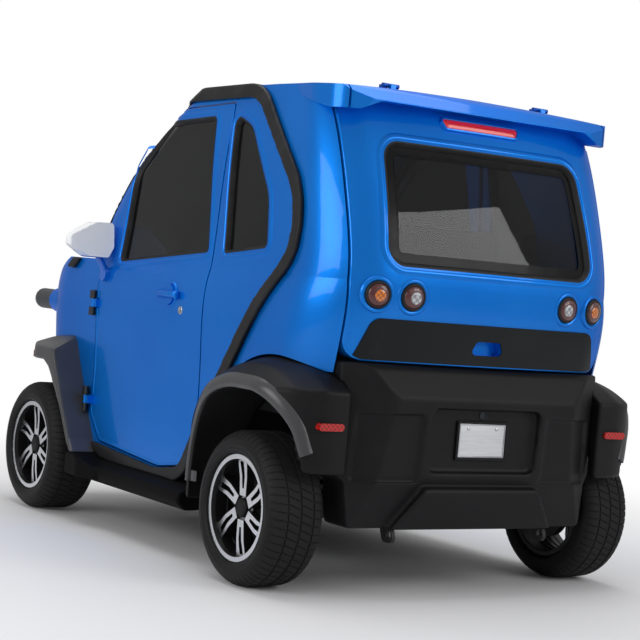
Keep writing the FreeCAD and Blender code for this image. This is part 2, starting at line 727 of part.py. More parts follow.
def floor_pan():
    """Pressed floor: cabin floor, seat riser, luggage deck, wheel housings and front bulkhead."""
    deck = DECK_Z
    pieces = [
        box(rear_x(RISER_X) - PLATE, front_x(-272), -530, 530, FLOOR_Z - PLATE, FLOOR_Z),
        box(rear_x(RISER_X) - PLATE, rear_x(RISER_X), -WELL_Y, WELL_Y, FLOOR_Z - PLATE, deck),
        box(rear_x(-218), rear_x(RISER_X), -WELL_Y, WELL_Y, deck - PLATE, deck),
        box(front_x(-284), front_x(-272), -FRONT_WELL_Y, FRONT_WELL_Y, FLOOR_Z - PLATE, 860),
        box(front_x(-284), front_x(280), -FRONT_WELL_Y, FRONT_WELL_Y, FRONT_TOWER_Z, FRONT_TOWER_Z + PLATE),
    ]
    for side in (1, -1):
        pieces.append(on_side(box(front_x(-284), front_x(280), FRONT_WELL_Y - PLATE, FRONT_WELL_Y,
                                  RAIL_BOTTOM + RAIL_HEIGHT + 60, FRONT_TOWER_Z + PLATE), side))
        pieces.append(on_side(box(rear_x(-218), rear_x(RISER_X), WELL_Y - PLATE, WELL_Y, deck - PLATE, 690), side))
        pieces.append(on_side(box(front_x(-50), front_x(50), FRONT_WELL_Y - 20, FRONT_WELL_Y + 40,
                                  FRONT_TOWER_Z, FRONT_TOWER_Z + PLATE), side))
        pieces.append(on_side(box(front_x(-284), front_x(-272), FRONT_WELL_Y - PLATE, 530,
                                  FLOOR_Z - PLATE, 860), side))
    pan = pieces[0].fuse(pieces[1:])
    notch = box(front_x(-SUSPENSION_GAP), front_x(SUSPENSION_GAP), FRONT_WELL_Y - PLATE - 1, FRONT_WELL_Y + 1,
                RAIL_BOTTOM + RAIL_HEIGHT, FRONT_TOWER_Z)
    return pan.cut(notch).cut(mirrored(notch)).removeSplitter()


def arch_opening_rear(y0, y1):
    """Space round a rear wheel, drawn as the fender's side opening."""
    return prism_y([
        (rear_x(-246), 330, 0),
        (rear_x(-192), REAR_ARCH_TOP, 150),
        (rear_x(REAR_ARCH_FRONT), REAR_ARCH_TOP, 330),
        (rear_x(REAR_ARCH_FRONT), 60, 0),
        (rear_x(-290), 60, 0),
    ], y0, y1)


def rear_fender():
    """Left rear fender: flared arch moulding turned about the wheel, cut to the car's rounded tail."""
    centre = V(REAR_AXLE_X, 0, TYRE_RADIUS)
    ring = turned([
        (WELL_Y + PANEL_GAP, 200, 0),
        (FENDER_OUT_Y, 200, 0),
        (FENDER_OUT_Y, 392, 22),
        (FENDER_OUT_Y - 56, 436, 60),
        (566, 462, 40),
        (WELL_Y + PANEL_GAP, 462, 0),
    ], centre)
    plan = prism_z([
        (rear_x(-268), WELL_Y - 20, 0),
        (rear_x(-268), FENDER_OUT_Y, 185),
        (rear_x(200), FENDER_OUT_Y, 300),
        (rear_x(400), FENDER_OUT_Y - 70, 60),
        (rear_x(440), WELL_Y - 20, 0),
    ], RAIL_BOTTOM + 30, 720)
    fender = ring.common(plan).cut(arch_opening_rear(WELL_Y - 10, 900))
    tail_view = prism_x([
        (WELL_Y - 20, 368, 0),
        (640, 368, 60),
        (FENDER_OUT_Y + 4, 440, 70),
        (FENDER_OUT_Y + 4, 720, 0),
        (WELL_Y - 20, 720, 0),
    ], rear_x(-600), rear_x(0))
    return fender.common(tail_view).fuse(fender.common(box(rear_x(0), rear_x(600), 0, 900, 0, 900))).removeSplitter()


def front_line(amount):
    """Side line of the front fender in the car's frame, drawn in by an amount."""
    return [(front_x(x), z, radius) for x, z, radius in parallel(FENDER_LINE, amount)]


def front_plan(inset):
    """Plan of the left front fender: straight outer face, tapered towards its tip."""
    return prism_z([
        (front_x(-400), 300, 0),
        (front_x(-400), FRONT_FENDER_Y - inset, 0),
        (front_x(30), FRONT_FENDER_Y - inset, 90),
        (front_x(150), FRONT_FENDER_Y - 62 - inset, 30),
        (front_x(150), 300, 0),
    ], 60, 900)


def front_slope(inset):
    """Everything under the front fender's top, which falls away outwards."""
    return prism_x([
        (300, 60, 0),
        (300, 796 - inset, 0),
        (704, 594 - inset, 0),
        (704, 60, 0),
    ], front_x(-400), front_x(400))


def front_fender():
    """Left front fender: hollow arched blade from the sill over the wheel, with a deep outer lip."""
    foot = FENDER_LINE[0][0]
    inside = front_line(FRONT_FENDER_THICK)
    block = prism_y(front_line(0) + [(front_x(FENDER_LINE[-1][0]), 60, 0), (front_x(foot), 60, 0)],
                    FRONT_WELL_Y + PANEL_GAP, FRONT_FENDER_Y)
    block = block.common(front_plan(0)).common(front_slope(0))
    hollow = prism_y(inside[:-1] + [(front_x(160), 540, 0), (front_x(160), 60, 0), (inside[0][0], 60, 0)],
                     FRONT_WELL_Y - 10, FRONT_FENDER_Y)
    hollow = hollow.common(front_plan(FRONT_FENDER_LIP)).common(front_slope(FRONT_FENDER_THICK))
    mouth = prism_y(inside[:3] + [
        (front_x(-100), 530, 60),
        (front_x(-56), 552, 30),
        (front_x(200), 549, 0),
        (front_x(200), 60, 0),
        (inside[0][0], 60, 0),
    ], FRONT_WELL_Y - 10, 900)
    below = box(front_x(-500), front_x(200), 0, 900, 0, SILL_TOP_Z + PANEL_GAP)
    return block.cut(hollow).cut(mouth).cut(below)


def body_cut():
    """Spaces that all body panels leave free: the wheel arches, the fenders and the front below the nose."""
    centre = V(REAR_AXLE_X, 0, TYRE_RADIUS)
    rear_ring = turned([(440, 0, 0), (900, 0, 0), (900, 464, 0), (440, 464, 0)], centre)
    line = front_line(-PANEL_GAP)
    front = prism_y(line[:-1] + [
        (front_x(128), NOSE_BOTTOM_Z, 0),
        (front_x(600), NOSE_BOTTOM_Z, 0),
        (front_x(600), 60, 0),
        (line[0][0], 60, 0),
    ], FRONT_WELL_Y, 900)
    return [rear_ring, mirrored(rear_ring), front, mirrored(front)]


def sill():
    """Left running board between the wheels, with a ramp at its front that carries the fender's foot."""
    x0, x1 = rear_x(420), front_x(SILL_END)
    board = prism_x([
        (500, 158, 0),
        (622, 155, 24),
        (656, 184, 16),
        (648, 214, 16),
        (586, 240, 14),
        (540, SILL_TOP_Z, 0),
        (500, 230, 0),
    ], x0, x1)
    ramp = prism_y([
        (front_x(-490), 170, 0),
        (x1, 170, 0),
        (x1, SILL_TOP_Z, 0),
        (front_x(-366), SILL_TOP_Z, 30),
        (front_x(-430), 226, 40),
        (front_x(-490), 212, 0),
    ], 540, FRONT_FENDER_Y)
    plan = prism_z([
        (x0, 480, 0),
        (x0, 658, 0),
        (front_x(-500), 658, 60),
        (front_x(-400), FRONT_FENDER_Y, 40),
        (x1, FRONT_FENDER_Y, 14),
        (x1, 480, 0),
    ], 100, 300)
    return board.fuse(ramp).common(plan).removeSplitter()


def rear_bumper():
    """Moulded tail: sloping shelf under the gate, plate recess, side pockets and a ribbed lower step."""
    profile = prism_y([
        (rear_x(-120), 698, 0),
        (rear_x(-246), 700, 12),
        (rear_x(-268), 688, 16),
        (rear_x(4 - REAR_OVERHANG), 604, 20),
        (rear_x(18 - REAR_OVERHANG), 372, 10),
        (rear_x(26 - REAR_OVERHANG), 350, 10),
        (rear_x(64 - REAR_OVERHANG), 208, 14),
        (rear_x(-120), 208, 0),
    ], -560, 560)
    plan = prism_z([
        (rear_x(-120), 560, 0),
        (rear_x(-186), 560, 0),
        (rear_x(-8 - REAR_OVERHANG), 330, 260),
        (rear_x(-8 - REAR_OVERHANG), -330, 260),
        (rear_x(-186), -560, 0),
        (rear_x(-120), -560, 0),
    ], 150, 720)
    front_view = prism_x([
        (-500, 702, 0),
        (-500, 366, 10),
        (-470, 346, 12),
        (-452, 206, 20),
        (452, 206, 20),
        (470, 346, 12),
        (500, 366, 10),
        (500, 702, 0),
    ], rear_x(-330), rear_x(-100))
    shape = profile.common(plan).common(front_view)
    hollow = prism_y([
        (rear_x(-90), 674, 0),
        (rear_x(-232), 676, 12),
        (rear_x(40 - REAR_OVERHANG), 600, 20),
        (rear_x(54 - REAR_OVERHANG), 360, 10),
        (rear_x(-222), 232, 14),
        (rear_x(-90), 232, 0),
    ], -360, 360)
    shape = shape.cut(hollow)
    recess = prism_x([(-212, 578, 24), (212, 578, 24), (206, 384, 24), (-206, 384, 24)],
                     rear_x(-REAR_OVERHANG - 30), rear_x(-REAR_OVERHANG + PLATE_RECESS))
    shape = shape.cut(recess)
    behind = profile.common(plan)
    behind.translate(V(POCKET_DEPTH, 0, 0))
    pocket = prism_x([(240, 560, 14), (452, 552, 14), (458, 350, 14), (240, 350, 14)],
                     rear_x(-REAR_OVERHANG - 30), rear_x(-REAR_OVERHANG + 90)).cut(behind)
    shape = shape.cut(pocket).cut(mirrored(pocket))
    step = prism_x([(-218, 338, 12), (218, 338, 12), (312, 208, 4), (-312, 208, 4)], rear_x(-320), rear_x(-230))
    step = step.common(prism_y([
        (rear_x(-240), 342, 0),
        (rear_x(6 - REAR_OVERHANG), 341, 4),
        (rear_x(-REAR_OVERHANG), 328, 4),
        (rear_x(-REAR_OVERHANG), 316, 6),
        (rear_x(34 - REAR_OVERHANG), 208, 8),
        (rear_x(-240), 208, 0),
    ], -400, 400))
    shape = shape.fuse(step)
    for z in (232, 258, 284):
        groove = box(rear_x(-330), rear_x(-292) + (z - 258) * -0.25, -230, 230, z, z + 7)
        shape = shape.cut(groove)
    return shape.removeSplitter()


def bumper_form(inset):
    """Front bumper's outer form, drawn in by an inset."""
    profile = prism_y([
        (front_x(150), NOSE_BOTTOM_Z - PANEL_GAP, 0),
        (front_x(FRONT_OVERHANG - 30) - inset, NOSE_BOTTOM_Z - PANEL_GAP, 10),
        (front_x(FRONT_OVERHANG) - inset, 530, 30),
        (front_x(FRONT_OVERHANG) - inset, 420, 30),
        (front_x(FRONT_OVERHANG - 26) - inset, 236 + inset / 2, 30),
        (front_x(FRONT_OVERHANG - 60) - inset, 200 + inset, 20),
        (front_x(150), 200 + inset, 0),
    ], -620, 620)
    plan = prism_z([
        (front_x(150), 520 - inset, 0),
        (front_x(240), 500 - inset, 60),
        (front_x(FRONT_OVERHANG - 44) - inset, 432 - inset, 60),
        (front_x(FRONT_OVERHANG) - inset, 240, 300),
        (front_x(FRONT_OVERHANG) - inset, -240, 300),
        (front_x(FRONT_OVERHANG - 44) - inset, -432 + inset, 60),
        (front_x(240), -500 + inset, 60),
        (front_x(150), -520 + inset, 0),
    ], 150, 700)
    return profile.common(plan)


def front_bumper():
    """Black front bumper: hollow moulding below the nose with an air opening, ahead of the wheels."""
    shape = bumper_form(0).cut(bumper_form(BUMPER_WALL))
    shape = shape.common(box(front_x(282), front_x(600), -900, 900, 0, 900))
    grille = prism_x([(-250, 380, 24), (250, 380, 24), (290, 262, 24), (-290, 262, 24)],
                     front_x(FRONT_OVERHANG - 20), front_x(FRONT_OVERHANG + 80))
    return shape.cut(grille)


def lamp_axis():
    """Centre of the left front lamp's seat, on the nose's corner."""
    return V(front_x(LAMP_SEAT_X), POD_Y, POD_Z)


def lamp_pod():
    """Left front lamp: round pod on the boss of the nose."""
    start = lamp_axis() + V(PANEL_GAP, 0, 0)
    pod = rod(start, V(front_x(FRONT_OVERHANG - 4), start.y, start.z), POD_RADIUS)
    pod = pod.makeFillet(20, [e for e in pod.Edges if e.BoundBox.XLength < 1 and e.BoundBox.XMin > start.x + 10])
    return pod.cut(form(-PANEL_GAP)).Solids[0]


def lamp_boss():
    """Left collar of the nose round the front lamp."""
    seat = lamp_axis()
    collar = rod(seat - V(170, 0, 0), seat, POD_RADIUS + 8)
    collar = collar.makeFillet(6, [e for e in collar.Edges if e.BoundBox.XLength < 1 and e.BoundBox.XMin > seat.x - 10])
    return collar.cut(form(WALL / 2))


def side_face(points):
    """Side outline measured from the rear axle, as a face."""
    return Part.Face(Part.Wire(rounded_edges(from_rear(points), lambda p: V(p.x, 0, p.y))))


def make_panels():
    """Fixed body panels of the cabin, cut from the shell where the real ones meet."""
    wall = skin(0, WALL)
    for space in body_cut():
        wall = wall.cut(space)
    door_hole = slab(side_face(DOOR_OUTLINE), SPLIT_Y, 800)
    cabin_face = Part.Face(Part.Wire(rounded_edges(cabin_side(), lambda p: V(p.x, 0, p.y))))
    inside_band = slab(cabin_face, SPLIT_Y, 800)
    above_floor = box(rear_x(-400), front_x(600), -900, 900, 222, 1700)
    tail = box(rear_x(-500), rear_x(900), -GATE_HALF_WIDTH - SHUT_GAP, GATE_HALF_WIDTH + SHUT_GAP, 0, 1800)

    roof_box = box(rear_x(GATE_SEAM_X) + SHUT_GAP, rear_x(842), -CANT_Y, CANT_Y, ROOF_TOP - 160, ROOF_TOP + 10)
    roof = wall.common(roof_box).cut(door_hole).cut(mirrored(door_hole))

    side_box = box(rear_x(-400), front_x(70), SPLIT_Y, 900, 222, BODY_TOP_Z)
    high = box(rear_x(-400), front_x(600), 0, CANT_Y + PANEL_GAP, ROOF_TOP - 160, 1700)
    nose_start = rear_x(DOOR_FRONT_X)
    ahead = box(nose_start - PANEL_GAP, front_x(600), 0, 900, 0, BELT_Z + PANEL_GAP)
    frame = wall.common(inside_band).common(side_box).cut(high).cut(door_hole).cut(ahead)
    for window in (QUARTER_WINDOW, VENT_WINDOW):
        frame = frame.cut(slab(side_face(window), 300, 800))

    quarter_box = box(rear_x(-400), rear_x(520), 380, 900, 330, BODY_TOP_Z)
    tail_foot = box(rear_x(-400), rear_x(60), 0, 900, 0, 664)
    quarter = wall.common(quarter_box).cut(inside_band).cut(tail).cut(door_hole).cut(high).cut(tail_foot)
    wing_zone = box(rear_x(-400), rear_x(EAVE_START_X), GATE_HALF_WIDTH + SHUT_GAP, 900, 0, 1700)
    quarter = quarter.fuse(eave().common(wing_zone))

    nose_box = box(nose_start, front_x(600), -900, 900, 250, BELT_Z)
    low_front = box(front_x(100), front_x(600), -900, 900, 0, NOSE_BOTTOM_Z)
    nose = wall.common(nose_box).common(above_floor).cut(low_front)
    nose = nose.fuse(both(lamp_boss())).removeSplitter()
    return roof, frame, quarter, nose


def solids_of(shape, smallest=1000.0):
    """The solids of a shape that are larger than a crumb."""
    return [s for s in shape.Solids if s.Volume > smallest]


def band():
    """Left seal band: raised strip along the edge of the cabin side."""
    strip = slab(band_ring(BAND_WIDTH), SPLIT_Y, 800)
    ring = form(-BAND_PROUD).cut(form(-PANEL_GAP)).common(strip)
    ring = ring.common(box(rear_x(-400), front_x(40), CANT_Y - 26, 900, 222, 1700))
    ring = ring.cut(slab(side_face(DOOR_OUTLINE), SPLIT_Y, 800))
    return ring.cut(box(rear_x(1240), front_x(200), 0, 900, 200, 900))


def door():
    """Left door: outer skin and inner casing, with its window cut out, and two hinge leaves at the front edge."""
    outer = skin(0, SKIN).common(slab(shrunk(from_rear(DOOR_OUTLINE), SHUT_GAP), SPLIT_Y + SHUT_GAP, 800))
    casing = shrunk(from_rear(DOOR_OUTLINE), SHUT_GAP + REBATE)
    inner = skin(SKIN, WALL).common(slab(casing, SPLIT_Y + SHUT_GAP, 800))
    shape = outer.fuse(inner).cut(slab(side_face(DOOR_WINDOW), 300, 800))
    return shape.fuse([door_hinge(z, True) for z in HINGE_HEIGHTS])


def door_hinge(z, moving):
    """Left door hinge at one height: the fixed ears with their pin, or the door's barrel and strap."""
    x, y = rear_x(HINGE_X), HINGE_Y
    half = HINGE_LENGTH / 2
    third = HINGE_LENGTH / 6

    def leaf(z0, z1, away):
        barrel = Part.makeCylinder(HINGE_RADIUS, z1 - z0, V(x, y, z0))
        x_far = x + away * HINGE_REACH
        strap = box(min(x, x_far), max(x, x_far), y - 6, y + 4, z0, z1)
        x_near = x_far - away * HINGE_FOOT
        foot = box(min(x_near, x_far), max(x_near, x_far), y - 60, y + 4, z0, z1)
        return barrel.fuse([strap, foot.cut(form(-PANEL_GAP if away > 0 else 0))])

    if moving:
        barrel = leaf(z - third + 1, z + third - 1, -1)
        return barrel.cut(Part.makeCylinder(HINGE_PIN + HINGE_CLEARANCE, HINGE_LENGTH, V(x, y, z - half)))
    ears = [leaf(z - half, z - third, 1), leaf(z + third, z + half, 1)]
    pin = Part.makeCylinder(HINGE_PIN, HINGE_LENGTH, V(x, y, z - half))
    return pin.fuse(ears).removeSplitter()


def gate_hinge_axis():
    """Point on the tailgate's hinge line, at the roof's trailing edge."""
    return V(rear_x(GATE_SEAM_X) + SHUT_GAP / 2, 0, GATE_HINGE_Z)


def gate_hinge(moving):
    """Tailgate hinges on the roof: fixed ears with a pin, or the gate's barrels."""
    axis = gate_hinge_axis()
    pieces = []
    for y in (-GATE_HINGE_Y, GATE_HINGE_Y):
        half = GATE_HINGE_LENGTH / 2
        third = GATE_HINGE_LENGTH / 6
        spans = [(-third + 1, third - 1)] if moving else [(-half, -third), (third, half)]
        away = -1 if moving else 1
        part = []
        for y0, y1 in spans:
            barrel = rod(axis + V(0, y + y0, 0), axis + V(0, y + y1, 0), GATE_HINGE_RADIUS)
            x_far = axis.x + away * GATE_HINGE_REACH
            strap = box(min(axis.x, x_far), max(axis.x, x_far), y + y0, y + y1, axis.z - 22, axis.z + 2)
            slot = box(axis.x - SHUT_GAP / 2, axis.x + SHUT_GAP / 2, -900, 900, 0, axis.z - 8)
            part.append(barrel.fuse(strap.cut(form(0)).cut(slot)))
        hole = rod(axis + V(0, y - half, 0), axis + V(0, y + half, 0), HINGE_PIN + (HINGE_CLEARANCE if moving else 0))
        if moving:
            pieces.append(part[0].cut(hole))
        else:
            pieces.append(part[0].fuse([part[1], hole]).removeSplitter())
    return pieces


def glazing(outline):
    """Curved pane that follows the body a little below its surface and fills a side window."""
    face = shrunk(from_rear(outline), PANEL_GAP)
    return skin(GLASS_DEPTH, GLASS_DEPTH + GLASS).common(slab(face, SPLIT_Y, 800))


def eave():
    """Spoiler along the roof's trailing edge: a lip that droops at both ends and fades forward on the quarters."""
    lip = rear_x(SPOILER_LIP_X)
    profile = prism_y([
        (rear_x(EAVE_START_X), ROOF_TOP + 60, 0),
        (rear_x(GATE_SEAM_X), ROOF_TOP - 3, 0),
        (rear_x(-130), 1518, 60),
        (lip, SPOILER_LIP_Z, 3),
        (lip + 10, SPOILER_TIP_Z, 10),
        (rear_x(-90), SPOILER_TIP_Z, 60),
        (rear_x(EAVE_START_X), 1506, 0),
    ], -600, 600)
    left = [
        (rear_x(EAVE_START_X), 524, 0),
        (rear_x(-20), 550, 160),
        (rear_x(-140), 534, 70),
        (lip, 430, 60),
    ]
    plan = prism_z(left + [(lip - 6, 0, 2600)] + [(x, -y, corner) for x, y, corner in left[::-1]], 1300, 1700)
    view = prism_x([
        (-620, SPOILER_TIP_Z - 10, 0),
        (-496, SPOILER_TIP_Z - 10, 0),
        (-400, SPOILER_LIP_Z - 2, 60),
        (400, SPOILER_LIP_Z - 2, 60),
        (496, SPOILER_TIP_Z - 10, 0),
        (620, SPOILER_TIP_Z - 10, 0),
        (620, ROOF_TOP + 60, 0),
        (-620, ROOF_TOP + 60, 0),
    ], rear_x(-400), rear_x(EAVE_START_X))
    return profile.common(plan).common(view).common(crown(0)).cut(form(WALL / 2))


def gate_outline(inset):
    """Rear outline of the tailgate, drawn in by an inset."""
    half = GATE_HALF_WIDTH - inset
    return prism_x([
        (-half, GATE_BOTTOM_Z + inset, GATE_CORNER),
        (half, GATE_BOTTOM_Z + inset, GATE_CORNER),
        (half, ROOF_TOP + 40, 0),
        (-half, ROOF_TOP + 40, 0),
    ], rear_x(-400), rear_x(GATE_SEAM_X))


def tailgate():
    """Tailgate: the tail's panel between the quarters, with its window cut out and the spoiler on top."""
    panel = skin(0, WALL).common(gate_outline(0))
    window = prism_x(GATE_WINDOW, rear_x(-500), rear_x(60))
    panel = panel.cut(window).cut(gate_grip())
    lip = eave().common(box(rear_x(-400), rear_x(GATE_SEAM_X), -GATE_HALF_WIDTH, GATE_HALF_WIDTH, 0, 1700))
    return panel.fuse([lip] + gate_hinge(True)).removeSplitter()


def tail_lamps():
    """Four round tail lamps and the high stop lamp."""
    lamps = []
    for y in (LAMP_SPAN_INNER, LAMP_SPAN_OUTER):
        for side in (1, -1):
            disc = rod(V(rear_x(-340), side * y, LAMP_Z), V(rear_x(-100), side * y, LAMP_Z), LAMP_RADIUS)
            lamps.append(form(-LAMP_PROUD).cut(form(-PANEL_GAP)).common(disc))
    stop = prism_x([(-151, 1454, 6), (151, 1454, 6), (137, 1426, 6), (-137, 1426, 6)], rear_x(-260), rear_x(-80))
    lamps.append(form(-LAMP_PROUD).cut(form(-PANEL_GAP)).common(stop))
    return lamps


def number_plate():
    """Blank number plate on the floor of the bumper's recess."""
    width, height, thick = NUMBER_PLATE
    x = rear_x(-REAR_OVERHANG + PLATE_RECESS) - PANEL_GAP
    return box(x - thick, x, -width / 2, width / 2, NUMBER_PLATE_Z - height / 2, NUMBER_PLATE_Z + height / 2)


def reflectors():
    """Left rear reflector on the fender's tail and the red marker on the front fender's tip."""
    rear = prism_x([(510, 498, 10.9), (597, 498, 10.9), (597, 520, 10.9), (510, 520, 10.9)],
                   rear_x(-276), rear_x(-230))
    marker = box(front_x(52), front_x(104), FRONT_FENDER_Y - 120, FRONT_FENDER_Y + 20, 556, 580)
    marker = marker.common(front_plan(-3)).cut(front_plan(-PANEL_GAP)).common(front_slope(0))
    return solids_of(rear.cut(rear_fender()), 500) + solids_of(marker, 500)


def gate_panel():
    """Black lower panel of the tailgate with an opening round the grip recess."""
    outline = prism_x([
        (-428, 834, 40),
        (428, 834, 40),
        (478, 690, 0),
        (-478, 690, 0),
    ], rear_x(-400), rear_x(-150)).common(gate_outline(3))
    return form(-GATE_PANEL_PROUD).cut(form(-PANEL_GAP)).common(outline).cut(gate_grip())


def gate_grip():
    """Pocket in the tailgate's lower panel for the hand."""
    return prism_x([
        (GRIP_Y - 45, 784, 10),
        (GRIP_Y + 45, 784, 10),
        (GRIP_Y + 66, 742, 14),
        (GRIP_Y - 66, 742, 14),
    ], rear_x(-400), rear_x(GRIP_FLOOR_X))


def seat():
    """Left seat: cushion, tall back with a head rest, on a plinth."""
    cushion = prism_y([
        (rear_x(380), SEAT_BASE_Z, 10),
        (rear_x(830), SEAT_BASE_Z, 20),
        (rear_x(850), 560, 40),
        (rear_x(470), 545, 60),
    ], 36, 480)
    back = prism_y([
        (rear_x(372), 474, 30),
        (rear_x(470), 549, 30),
        (rear_x(430), 900, 200),
        (rear_x(380), 1120, 60),
        (rear_x(350), 1160, 30),
        (rear_x(300), 1150, 30),
        (rear_x(300), 900, 200),
    ], 36, 480)
    shape = cushion.fuse(back).removeSplitter()
    return shape


def dashboard():
    """Dashboard across the cabin with an instrument hood before the driver."""
    top = prism_y([
        (front_x(-286), 640, 0),
        (front_x(-340), 700, 30),
        (front_x(-360), 860, 30),
        (front_x(-300), 925, 30),
        (front_x(-180), 930, 0),
        (front_x(-180), 880, 0),
        (front_x(-284) - PANEL_GAP, 862, 0),
        (front_x(-284) - PANEL_GAP, 640, 0),
    ], -515, 515)
    hood = prism_y([
        (front_x(-372), 896, 8),
        (front_x(-366), 985, 16),
        (front_x(-280), 970, 30),
        (front_x(-240), 896, 0),
    ], STEERING_Y - 120, STEERING_Y + 120)
    return top.fuse(hood).removeSplitter()


def steering_axis():
    """Unit vector along the steering column, up towards the driver."""
    tilt = math.radians(STEERING_TILT)
    return V(-math.cos(tilt), 0, math.sin(tilt))


def steering_column():
    """Steering column from the dashboard to the wheel's hub."""
    centre = V(rear_x(STEERING_X), STEERING_Y, STEERING_Z)
    axis = steering_axis()
    column = rod(centre - axis * COLUMN_LENGTH, centre - axis * (COLUMN_RADIUS + PANEL_GAP), COLUMN_RADIUS)
    return column.cut(dashboard()).Solids[0]


def steering_wheel():
    """Three-spoke steering wheel with a padded boss."""
    centre = V(rear_x(STEERING_X), STEERING_Y, STEERING_Z)
    axis = steering_axis()
    ring = Part.makeTorus(STEERING_WHEEL_RADIUS, STEERING_RIM_RADIUS, centre, axis)
    boss = Part.makeCylinder(44, 40, centre - axis * 22, axis)
    across = V(0, 1, 0)
    down = axis.cross(across)
    spokes = []
    for direction in (across, across * -1, down if down.z < 0 else down * -1):
        spokes.append(rod(centre - axis * 4, centre - axis * 4 + direction * (STEERING_WHEEL_RADIUS - 4), 9))
    return boss.fuse(spokes + [ring]).removeSplitter()


def mirror_housing():
    """Left door mirror: tapered shell on an arm that stands on a round boss of the door."""
    x = rear_x(MIRROR_X)
    shell = prism_x([
        (584, 984, 24),
        (592, 1070, 14),
        (658, 1068, 40),
        (MIRROR_TIP_Y, 1010, 12),
        (MIRROR_TIP_Y, 984, 12),
        (668, 942, 50),
        (604, 944, 20),
    ], x - 26, x + 56)
    rounding = prism_z([
        (x - 26, 560, 0),
        (x - 26, MIRROR_TIP_Y, 14),
        (x + 8, MIRROR_TIP_Y, 20),
        (x + 56, 690, 60),
        (x + 56, 560, 30),
    ], 900, 1100)
    shell = shell.common(rounding)
    arm = rod(V(x + 6, 586, 884), V(x + 10, 640, 970), 12)
    boss = rod(V(x + 6, 560, 882), V(x + 6, 606, 886), 24)
    return shell.fuse([arm, boss]).cut(form(-PANEL_GAP)).Solids[0]


def door_handle():
    """Left door handle: oval grip over a round cup."""
    x, z = rear_x(690), 841
    cup = rod(V(x, 560, z), V(x, 603, z), 34)
    grip = box(x - 66, x + 66, 594, 612, z - 14, z + 14)
    grip = grip.makeFillet(7, grip.Edges)
    return cup.fuse(grip).cut(form(-PANEL_GAP)).removeSplitter()


def windscreen():
    """Curved windscreen between the pillars, above the cowl."""
    edge = SPLIT_Y - PANEL_GAP
    zone = box(rear_x(842) + PANEL_GAP, front_x(200), -edge, edge, BELT_Z + PANEL_GAP, ROOF_TOP)
    return skin(GLASS_DEPTH, GLASS_DEPTH + GLASS).common(zone)


def build():
    """Every node's solids, by name."""
    roof, frame, quarter, nose = make_panels()
    nodes = {
        "chassis_frame": [chassis_frame()],
        "floor_pan": [floor_pan()],
        "battery_box": [box(rear_x(380), rear_x(780), -420, 420, FLOOR_Z + PANEL_GAP, SEAT_BASE_Z - PANEL_GAP)],
        "rear_axle": [rear_axle()],
        "front_axle": [front_axle()],
        "dampers": dampers(),
        "roof_panel": solids_of(roof),
        "side_frames": solids_of(frame) + [mirrored(s) for s in solids_of(frame)],
        "rear_quarters": solids_of(quarter) + [mirrored(s) for s in solids_of(quarter)],
        "nose_panel": solids_of(nose),
        "windscreen": solids_of(windscreen()),
        "side_glass": [s for w in (QUARTER_WINDOW, VENT_WINDOW) for g in both(glazing(w)) for s in solids_of(g)],
        "hinges": [s for z in HINGE_HEIGHTS for s in both(door_hinge(z, False))] + gate_hinge(False),
        "seal_bands": solids_of(band()) + [mirrored(s) for s in solids_of(band())],
        "sills": both(sill()),
        "rear_fenders": both(rear_fender()),
        "front_fenders": both(front_fender()),
        "rear_bumper": solids_of(rear_bumper()),
        "front_bumper": solids_of(front_bumper()),
        "headlamps": both(lamp_pod()),
        "seats": both(seat()),
        "dashboard": [dashboard()],
        "steering_column": [steering_column()],
        "steering_wheel": [steering_wheel()],
        "tailgate": solids_of(tailgate()),
        "tail_lamps": [s for lamp in tail_lamps() for s in solids_of(lamp)],
        "number_plate": [number_plate()],
        "reflectors": [s for piece in reflectors() for s in both(piece)],
    }
    gate_pane = skin(GLASS_DEPTH, GLASS_DEPTH + GLASS).common(prism_x(GATE_WINDOW, rear_x(-500), rear_x(60)))
    nodes["tailgate_glass"] = solids_of(gate_pane)
    nodes["tailgate_panel"] = solids_of(gate_panel())
    pane = solids_of(glazing(DOOR_WINDOW))
    left_door = solids_of(door())
    for name, side in SIDES:
        nodes["door_" + name] = [on_side(s, side) for s in left_door]
        nodes["door_glass_" + name] = [on_side(s, side) for s in pane]
        nodes["door_handle_" + name] = [on_side(door_handle(), side)]
        nodes["mirror_" + name] = [on_side(mirror_housing(), side)]
        nodes["knuckle_" + name] = [on_side(knuckle(), side)]
        for end, x in (("front", FRONT_AXLE_X), ("rear", REAR_AXLE_X)):
            centre = V(x, side * WHEEL_Y, TYRE_RADIUS)
            nodes["tyre_%s_%s" % (end, name)] = [tyre(centre)]
            nodes["rim_%s_%s" % (end, name)] = [rim(centre, side)]
    return fitted(nodes)


# Pieces that give way to their neighbours where they meet
FITTED = (
    ("rear_axle", ("chassis_frame",)),
    ("floor_pan", ("chassis_frame", "front_axle", "nose_panel", "front_fenders", "rear_fenders")),
    ("rear_bumper", ("floor_pan", "chassis_frame", "rear_fenders", "rear_quarters")),
    ("seats", ("floor_pan",)),
    ("sills", ("floor_pan", "rear_fenders")),
    ("side_frames", ("sills",)),
    ("seal_bands", ("front_fenders", "rear_fenders", "sills")),
    ("hinges", ("front_fenders", "nose_panel")),
)


def fitted(nodes):
    """The nodes with every piece relieved where a neighbour runs through it."""
    for name, others in FITTED:
        pieces = []
        for solid in nodes[name]:
            for other in others:
                for neighbour in nodes[other]:
                    if solid.BoundBox.intersect(neighbour.BoundBox):
                        solid = solid.cut(neighbour)
            pieces += solids_of(solid)
        nodes[name] = pieces
    return nodes


def main():
    """Writes one STEP file for each node."""
    os.makedirs("parts", exist_ok=True)
    for name, solids in build().items():
        shape = solids[0] if len(solids) == 1 else Part.makeCompound(solids)
        shape.exportStep("parts/%s.step" % name)
        print(name, len(solids), "valid" if shape.isValid() else "INVALID", round(shape.Volume / 1e6, 2))


main()
